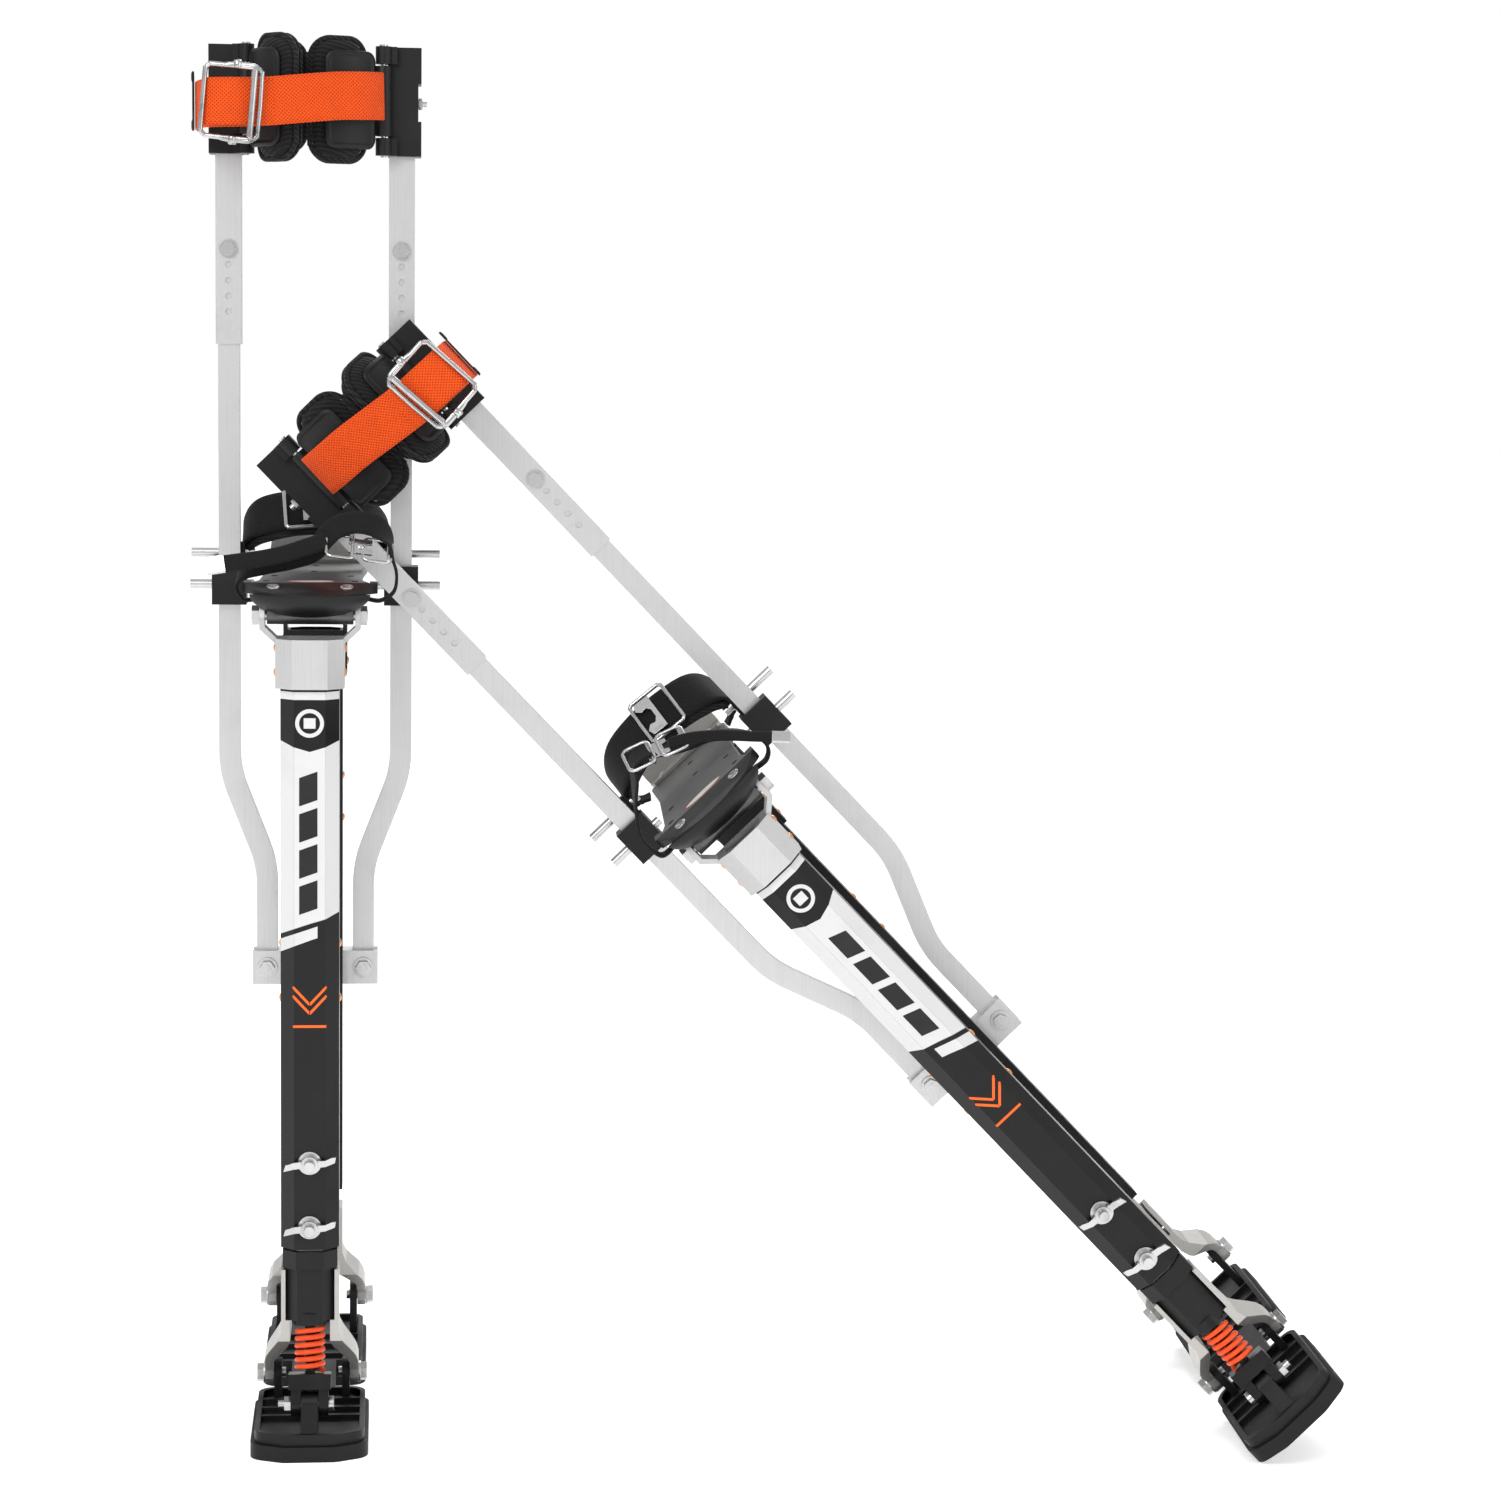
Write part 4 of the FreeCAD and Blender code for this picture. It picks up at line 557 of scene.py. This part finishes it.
def curved_shell(length, height, radius, corner, middle_deg, middle_z, skin, across, tall):
    """A curved plate about the calf's axis. skin(d) gives its outer and inner offsets at d from its rim."""
    rows = []
    for j in range(tall + 1):
        row = []
        for i in range(across + 1):
            ease = [math.sin(math.pi / 2 * (2 * k / n - 1)) for k, n in ((i, across), (j, tall))]
            u, v = squared(ease[0] * length / 2, ease[1] * height / 2, length, height, corner)
            over_u, over_v = abs(u) - (length / 2 - corner), abs(v) - (height / 2 - corner)
            if over_u > 0 and over_v > 0:
                rim = corner - math.hypot(over_u, over_v)
            else:
                rim = min(length / 2 - abs(u), height / 2 - abs(v))
            row.append((u, v, max(rim, 0)))
        rows.append(row)
    verts = []
    for face in (0, 1):
        for row in rows:
            for u, v, rim in row:
                r = radius + skin(rim)[face]
                a = math.radians(middle_deg) + u / radius
                verts.append(Vector((r * math.sin(a), CUFF_Y - r * math.cos(a), middle_z + v)))
    return verts, plate_faces(across, tall)


def shell_skin(rim):
    soft = max(0.0, 1 - rim / 1.2)
    lip = 0.7 if 1.6 < rim < 4.2 else (0.35 if rim <= 1.6 else 0)
    return (lip - 0.9 * soft * soft, -3.0 + 0.8 * soft * soft)


cuff_plate = curved_shell(46.5, BAND_H - 9, CUFF_R, 9, CUFF_DEG, CUFF_Z, shell_skin, 44, 60)
knuckle = lathe([(0, 6.3), (0.6, 6.5), (55.4, 6.5), (56, 6.3)],
                (HINGE.x, HINGE.y, BAND_Z + 15.5), (0, 0, 1), 32)
web = slab([(HINGE.x - 9.5, HINGE.y + 1.5), (HINGE.x - 9, HINGE.y - 3), (HINGE.x + 1, HINGE.y - 6.2),
            (HINGE.x + 4, HINGE.y)], BAND_Z + 15.6, BAND_Z + 71.4)
for side in ("left", "right"):
    piece("shell_" + side, moved(joined(cuff_plate, knuckle, web), on_cuff(side)), "cuff_" + side,
          "plastic_black", replaces=("cuff_" + side,), crease=40)


def pad_skin(thick, edge):
    def skin(rim):
        soft = max(0.0, 1 - rim / edge)
        pull = thick / 2 * (1 - math.sqrt(max(0.0, 1 - soft * soft)))
        return (-pull, -thick + pull)
    return skin


def puffed(part, seed_name, cap):
    """Swells a pad with a short cloth simulation under pressure. No point moves further than cap, and
    none goes through the cuff's plate."""
    o = new_mesh(seed_name, part, MM, MATS["pad_mesh"], 180)
    remesh = o.modifiers.new("even", "REMESH")
    remesh.mode, remesh.voxel_size = "VOXEL", 0.0042
    bpy.context.view_layer.objects.active = o
    bpy.ops.object.modifier_apply(modifier="even")
    before = [v.co.copy() for v in o.data.vertices]
    cloth = o.modifiers.new("swell", "CLOTH")
    cloth.settings.use_pressure = True
    cloth.settings.uniform_pressure_force = 4
    cloth.settings.quality = 4
    cloth.settings.effector_weights.gravity = 0
    cloth.point_cache.frame_start, cloth.point_cache.frame_end = 1, 20
    for f in range(1, 21):
        bpy.context.scene.frame_set(f)
    bpy.ops.object.modifier_apply(modifier="swell")
    bpy.context.scene.frame_set(1)
    made = []
    for v, old in zip(o.data.vertices, before):
        step = v.co - old
        if step.length > cap * 0.001:
            step *= cap * 0.001 / step.length
        spot = (old + step) * 1000
        out = Vector((spot.x, spot.y - CUFF_Y, 0))
        r, turn = out.length, math.degrees(math.atan2(spot.x, CUFF_Y - spot.y))
        in_cuff = abs(turn - CUFF_DEG) < 23 and abs(spot.z - CUFF_Z) < 42
        limit = CUFF_R - 3.5 if in_cuff else CUFF_R + 1.5
        if r > limit:
            spot = Vector((out.x * limit / r, CUFF_Y + out.y * limit / r, spot.z))
        made.append(spot)
    faces = [tuple(p.vertices) for p in o.data.polygons]
    bpy.data.objects.remove(o)
    return made, faces


def pad_rim(length, height, corner, radius, depth, middle_deg, middle_z, wire_r):
    """The braided binding round a pad's rim."""
    path = []
    for u, v in rounded(length, height, corner, 8):
        a = math.radians(middle_deg) + u / radius
        r = radius - depth
        path.append((r * math.sin(a), CUFF_Y - r * math.cos(a), middle_z + v))
    return wire(path, wire_r, True, 3, 8)


main_pad = puffed(curved_shell(50, 97, PAD_R, 17, PAD_DEG, CUFF_Z, pad_skin(12.5, 6), 30, 44),
                  "pad_form", 5)
back_pad = puffed(curved_shell(35, 84, PAD_R - 13.4, 14, LEAF_DEG, CUFF_Z + 2, pad_skin(9, 4.5), 26, 38),
                  "leaf_form", 5)
main_rim = pad_rim(51, 98, 17.5, PAD_R, 3.2, PAD_DEG, CUFF_Z, 2.0)
inner_rim = pad_rim(51, 98, 17.5, PAD_R, 9.8, PAD_DEG, CUFF_Z, 1.7)
back_rim = pad_rim(36, 85, 14.5, PAD_R - 13.4, 4.5, LEAF_DEG, CUFF_Z + 2, 1.8)
for side in ("left", "right"):
    at = on_cuff(side)
    for p, o in piece("cushion_" + side, moved(main_pad, at), "cuff_" + side, "pad_mesh",
                      replaces=("pad_" + side,), crease=180, smooth=1).items():
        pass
    piece("binding_" + side, moved(joined(main_rim, inner_rim), at), "cuff_" + side, "piping",
          crease=180)
    at = on_cuff(side, LEFT_LEAF_OPEN)
    for p, o in piece("leaf_" + side, moved(back_pad, at), "cuff_" + side, "pad_mesh",
                      crease=180, smooth=1).items():
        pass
    piece("leaf_binding_" + side, moved(back_rim, at), "cuff_" + side, "piping", crease=180)

# ---------------------------------------------------------------- calf strap and its buckle
STRAP_Z = CUFF_Z
UP = (0, 0, 1)
route = [(54.5, -37), (49, -46.5), (37.5, -58), (17, -68), (-12, -80), (-38, -87.5), (-60, -88.5),
         (-78, -81.5), (-89, -66), (-93.5, -44), (-94, -20), (-93, -2)]
drop = [3.5, 3, 2.2, 1, -2.5, -5.5, -6.8, -7, -7, -7, -7, -7]
line = [(x, y, STRAP_Z + d) for (x, y), d in zip(route, drop)]
piece("band_webbing", strap(line, [UP] * len(line), 38, 2.4, 8), "calf_frame", "webbing_orange",
      replaces=("calf_strap",), crease=60, bends=("cuff_right", (-24, -82, STRAP_Z), (26, -63, STRAP_Z)))
fold = [(-28, -86.5), (-42, -92.5), (-58, -95), (-72, -93.5), (-80.5, -90), (-82, -85.5), (-77, -84)]
fold = [(x - 4, y, STRAP_Z - 5.5 + 0.02 * (x + 28)) for x, y in fold]
piece("band_webbing_fold", strap(fold, [UP] * len(fold), 37, 2.2, 8), "calf_frame", "webbing_orange",
      crease=60)


def wire_frame(width, height, corner, radius, place):
    path = [place @ Vector((u, 0, v)) for u, v in rounded(width, height, corner, 5)]
    return wire(path, radius, True, 2, 12)


tilt = Matrix.Translation((-64, -95.5, STRAP_Z - 7)) @ Matrix.Rotation(math.radians(-5), 4, "Z") \
    @ Matrix.Rotation(math.radians(5), 4, "Y")
bars = [wire_frame(45, 56, 6, 2.0, tilt),
        wire([tilt @ Vector((17, -3.4, -26)), tilt @ Vector((17, -3.4, 26))], 2.6, False, 0, 14)]
for end in (-1, 1):
    bars.append(wire([tilt @ Vector((17, -3.4, end * 25)), tilt @ Vector((17, -0.5, end * 29)),
                      tilt @ Vector((8, 0, end * 29.5)), tilt @ Vector((-4, 0, end * 29)),
                      tilt @ Vector((-10, 1, end * 27))], 1.9, False, 4, 10))
    bars.append(lathe([(0, 3.2), (1, 3.5), (5, 3.5), (6, 2.4)], tilt @ Vector((3, 0, end * 27)),
                      (0, 0, end), 16))
piece("band_buckle", joined(*bars), "calf_frame", "chrome", replaces=("calf_buckle",), crease=50)
clip = slab(rounded(9, 46, 4.4, 6, (-50, STRAP_Z - 4)), -96.6, -95.2, "YZ")
clip_ends = [lathe([(0, 4.6), (1.4, 4.4), (2, 3)], (-95.4, -50, STRAP_Z - 4 + s * 19), (-1, 0, 0), 20)
             for s in (-1, 1)]
piece("strap_clip", joined(clip, *clip_ends), "calf_frame", "dark_recess")

# ---------------------------------------------------------------- foot: heel plate, straps and buckles
HEEL_Y, PLATE_TOP = 93.0, 676.05
heel_side = [(39.5, PLATE_TOP), (39.5, PLATE_TOP + 12), (36, PLATE_TOP + 30), (31, PLATE_TOP + 46),
             (22, PLATE_TOP + 53.5), (10, PLATE_TOP + 56)]
outline = heel_side + [(-x, z) for x, z in reversed(heel_side)]
outline = [(p.x, p.z) for p in bend([(x, 0, z) for x, z in outline], 4)]


def cupped(x, z, depth):
    lean = (z - PLATE_TOP) * 0.03
    return Vector((x, HEEL_Y - 1 + lean - (x / 39.5) ** 2 * 5 + depth, z))


steps_across = 14
levels = outline[:len(outline) // 2]
verts = [cupped(x * (1 - 2 * k / steps_across), z, depth)
         for depth in (-1.8, 1.8) for x, z in levels for k in range(steps_across + 1)]
heel_shell = (verts, plate_faces(steps_across, len(levels) - 1))
foot_of_heel = slab(rounded(79, 24, 5, 5, (0, 78)), PLATE_TOP, PLATE_TOP + 3)
heel_rivets = [rivet((x, 74, PLATE_TOP + 3), (0, 0, 1), 4, 2) for x in (-26, 26)]
piece("heel_cup", joined(heel_shell, foot_of_heel, *heel_rivets), "foot", "cast_grey",
      replaces=("heel_plate",), crease=40)

toe_side = {
    "a": [(-44, -192, 662), (-52, -192, 662.5), (-57, -193, 672), (-51, -194, 683), (-36, -194, 690),
          (-16, -193, 694), (2, -192, 700), (11, -191, 710), (20, -190, 718), (35, -189, 722),
          (50, -190, 719), (60, -191, 708), (63, -192, 694), (66, -192, 682), (64, -192, 669),
          (54, -192, 662), (44, -192, 663)],
    "b": [(-44, -192, 662), (-54, -192, 661.6), (-61, -192, 668), (-60, -191, 680), (-50, -190, 692),
          (-34, -188, 704), (-17, -186, 713), (-2, -186, 721), (12, -187, 731), (24, -189, 729),
          (32, -191, 719), (46, -192, 703), (58, -192, 685), (57, -192, 664), (44, -192, 662)]}
side_on, tipped, half_faced, faced = (0, 1, 0), (0, 0.9, 0.3), (0, 0.8, 0.6), (0, 0.4, 0.9)
toe_ways = {
    "a": [side_on] * 3 + [half_faced] + [faced] * 7 + [half_faced] + [side_on] * 5,
    "b": [side_on] * 4 + [tipped] * 2 + [(0, 0.8, 0.55)] * 3 + [tipped] * 2 + [side_on] * 4}
ankle_line = [(-44, 33, 677), (-52, 33, 681), (-59, 31, 692), (-57, 26, 706), (-44, 20, 717), (-17, 14, 723),
              (12, 13, 724), (38, 17, 719), (55, 24, 707), (59, 30, 692), (52, 33, 681), (44, 33, 677)]
ankle_rise = [side_on] * 2 + [(0, 0.95, 0.3), half_faced]
ankle_ways = ankle_rise + [(0, 0.6, 0.8)] * 4 + ankle_rise[::-1]
tails = {
    "a": [(12, -197, 708), (-4, -202, 703), (-20, -206, 698), (-40, -208, 694), (-62, -209, 691),
          (-75, -209, 689)],
    "b": [(-8, -192, 722), (-24, -199, 714), (-42, -205, 700), (-60, -208, 682), (-76, -209, 666)]}
tail_width = {"a": 14, "b": 9}
piece("toe_webbing", {p: strap(toe_side[p], toe_ways[p], 19, 2.4, 7) for p in "ab"}, "foot", "webbing_black",
      replaces=("foot_straps",), crease=60)
piece("ankle_webbing", strap(ankle_line, ankle_ways, 38, 3.0, 8), "foot", "webbing_black", crease=60)
inner_line = [(x * 0.93, y + 1.5, z - 4.6) for x, y, z in ankle_line[2:-2]]
piece("ankle_padding", strap(inner_line, ankle_ways[2:-2], 42, 5.5, 8), "foot", "pad_mesh", crease=60)
tail_parts = {p: strap(tails[p], [faced] * len(tails[p]), tail_width[p], 2.2, 7) for p in "ab"}
piece("toe_tail", tail_parts, "foot", "webbing_black", crease=60)
tip_parts = {}
for p in "ab":
    start, end = Vector(tails[p][-2]), Vector(tails[p][-1])
    way = (end - start).normalized()
    tip = [end - way * 10, end - way * 3, end + way * 4]
    tip_parts[p] = strap(tip, [faced] * 3, tail_width[p] + 1.2, 3.6, 3)[:2]
piece("toe_tail_tip", tip_parts, "foot", "chrome", crease=40)


def facing(spot, way, up):
    """A place whose x runs along way and whose z is near up."""
    x = Vector(way).normalized()
    z = (Vector(up) - x * x.dot(Vector(up))).normalized()
    return Matrix.Translation(spot) @ Matrix((x, z.cross(x), z)).transposed().to_4x4()


buckles = {}
for p, mid, way in (("a", (38, -196, 702), (1, 0.05, -0.12)), ("b", (2, -190, 726), (-1, 0.05, -0.34))):
    place = facing(mid, way, (0, 0.75, 0.6))
    parts = []
    for shift in (-15, 13):
        offset = place @ Matrix.Translation((shift, 0, 0))
        parts.append(wire_frame(22, 25, 5, 1.3, offset))
        ends = [offset @ Vector((9, -1.6, z)) for z in (-12, 12)]
        parts.append(wire(ends, 1.5, False, 0, 10))
    plate = slab([(-9, -8), (9, -8), (9, -4), (5, -3), (5, 3), (9, 4), (9, 8),
                  (-9, 8), (-9, 3), (-6, 0), (-9, -3)], -2.6, -1.0, "XZ")
    parts.append(moved(plate, place))
    parts.append(moved(rivet((0, -2.6, 0), (0, -1, 0), 3.2, 1.8), place))
    buckles[p] = joined(*parts)
piece("toe_buckle", buckles, "foot", "chrome", replaces=("foot_buckles",), crease=40)

ankle_place = facing((-9, 11, 726.5), (1, 0.02, 0.08), (0, 0.6, 0.8))
ankle_frame = [wire_frame(33, 42, 4, 1.7, ankle_place)]
keyhole = [(-2, -17), (12, -17), (14, -11), (10, -7), (5, -8), (2, -4), (2, 4), (5, 8), (10, 7), (14, 11),
           (12, 17), (-2, 17)]
ankle_frame.append(moved(slab(keyhole, -3.4, -2.0, "XZ"), ankle_place))
piece("ankle_buckle", joined(*ankle_frame), "foot", "chrome", crease=40)

oval = [(17 * s, -187 + 10 * c) for s, c in circle]
wide = [(18.2 * s, -187 + 11 * c) for s, c in circle]
piece("toe_label", slab(oval, PLATE_TOP, PLATE_TOP + 0.25), "foot", "label_light")
piece("toe_label_edge", slab(wide, PLATE_TOP, PLATE_TOP + 0.12), "foot", "decal_orange")
screw = [(0, 5.2), (0.9, 5), (1.3, 3.6), (0.7, 2.2), (0.4, 0)]
piece("bumper_screws", joined(*[lathe(screw, (x, -214, 673.2), (0, -0.25, 0.97), 24) for x in (-28, 28)]),
      "foot", "bolt_zinc")
screw_spots = ((-34, -186), (34, -186), (-30, -120), (30, -120), (0, -60), (0, 20))
piece("plate_screws", joined(*[lathe([(0, 2.6), (0.4, 2.4), (0.5, 0)], (x, y, PLATE_TOP), (0, 0, 1), 16)
                               for x, y in screw_spots]),
      "foot", "dark_recess")

# ---------------------------------------------------------------- camera, light and floor
# The camera was fitted to the upright stilt in the photo: where it is and how it is turned.
VIEW_YAW, VIEW_PITCH, VIEW_ROLL = (math.radians(a) for a in (-5.69, 6.15, 0.735))
FOCAL_PIXELS, FRAME_PIXELS = 3637, 1500
eye = PLACES["a"] @ Vector((61, -3017, 852))
ahead = Matrix.Rotation(VIEW_YAW, 3, "Z") @ Vector((0, math.cos(VIEW_PITCH), -math.sin(VIEW_PITCH)))
right = Matrix.Rotation(VIEW_YAW, 3, "Z") @ Vector((1, 0, 0))
up = right.cross(ahead)
right, up = (right * math.cos(VIEW_ROLL) + up * math.sin(VIEW_ROLL),
             up * math.cos(VIEW_ROLL) - right * math.sin(VIEW_ROLL))
camera = bpy.data.objects.new("camera", bpy.data.cameras.new("camera"))
camera.data.sensor_width = 36
camera.data.lens = 36 * FOCAL_PIXELS / FRAME_PIXELS
camera.data.clip_end = 60
camera.matrix_world = Matrix.Translation(eye) @ Matrix((right, up, -ahead)).transposed().to_4x4()
bpy.context.scene.collection.objects.link(camera)
bpy.context.scene.camera = camera

floor_paint = Paint("pale_floor", (0.95, 0.95, 0.95), 0.8, edge=0)
floor_paint.set(Emission_Color=(1, 1, 1, 1), Emission_Strength=0.42)
floor_paint.tint(floor_paint.ramp(floor_paint.noise(1.5), 0, 1), (0.93, 0.93, 0.935), 0.4)
floor_mesh = bpy.data.meshes.new("floor")
floor_mesh.from_pydata([(-30, -30, 0), (30, -30, 0), (30, 30, 0), (-30, 30, 0)], [], [(0, 1, 2, 3)])
floor = bpy.data.objects.new("floor", floor_mesh)
floor_mesh.materials.append(floor_paint.mat)
bpy.context.scene.collection.objects.link(floor)

world = bpy.data.worlds.new("studio")
bpy.context.scene.world = world
bpy.context.scene.view_settings.view_transform = "Standard"
world.use_nodes = True
sky = world.node_tree
studio = sky.nodes["Background"]
studio.inputs[1].default_value = 0.8
height = sky.nodes.new("ShaderNodeSeparateXYZ")
sky.links.new(sky.nodes.new("ShaderNodeTexCoord").outputs["Generated"], height.inputs[0])
walls = sky.nodes.new("ShaderNodeValToRGB")
walls.color_ramp.elements[0].position, walls.color_ramp.elements[0].color = 0.3, (0.7, 0.7, 0.7, 1)
walls.color_ramp.elements[1].position, walls.color_ramp.elements[1].color = 0.9, (1, 1, 1, 1)
for place, shade in ((0.46, 0.3), (0.58, 0.9)):
    walls.color_ramp.elements.new(place).color = (shade, shade, shade, 1)
lifted = sky.nodes.new("ShaderNodeMath")
lifted.operation = "MULTIPLY_ADD"
lifted.inputs[1].default_value, lifted.inputs[2].default_value = 0.5, 0.5
sky.links.new(height.outputs[2], lifted.inputs[0])
sky.links.new(lifted.outputs[0], walls.inputs[0])
sky.links.new(walls.outputs[0], studio.inputs[0])
backdrop = sky.nodes.new("ShaderNodeBackground")
seen = sky.nodes.new("ShaderNodeLightPath")
either = sky.nodes.new("ShaderNodeMixShader")
sky.links.new(seen.outputs["Is Camera Ray"], either.inputs[0])
sky.links.new(studio.outputs[0], either.inputs[1])
sky.links.new(backdrop.outputs[0], either.inputs[2])
backdrop.inputs[0].default_value = (1, 1, 1, 1)
sky.links.new(either.outputs[0], sky.nodes["World Output"].inputs[0])


def soft_light(name, spot, aim, size, power):
    lamp = bpy.data.lights.new(name, "AREA")
    lamp.size, lamp.energy = size, power
    holder = bpy.data.objects.new(name, lamp)
    holder.location = spot
    holder.rotation_euler = (Vector(aim) - Vector(spot)).to_track_quat("-Z", "Y").to_euler()
    bpy.context.scene.collection.objects.link(holder)


soft_light("key", (-1.6, -2.4, 2.6), (0, 0, 0.6), 1.4, 55)
soft_light("fill", (2.4, -1.8, 1.6), (0, 0, 0.5), 1.8, 22)
soft_light("rim", (0.4, 2.2, 2.4), (0, 0, 0.6), 1.6, 40)

bpy.context.view_layer.update()
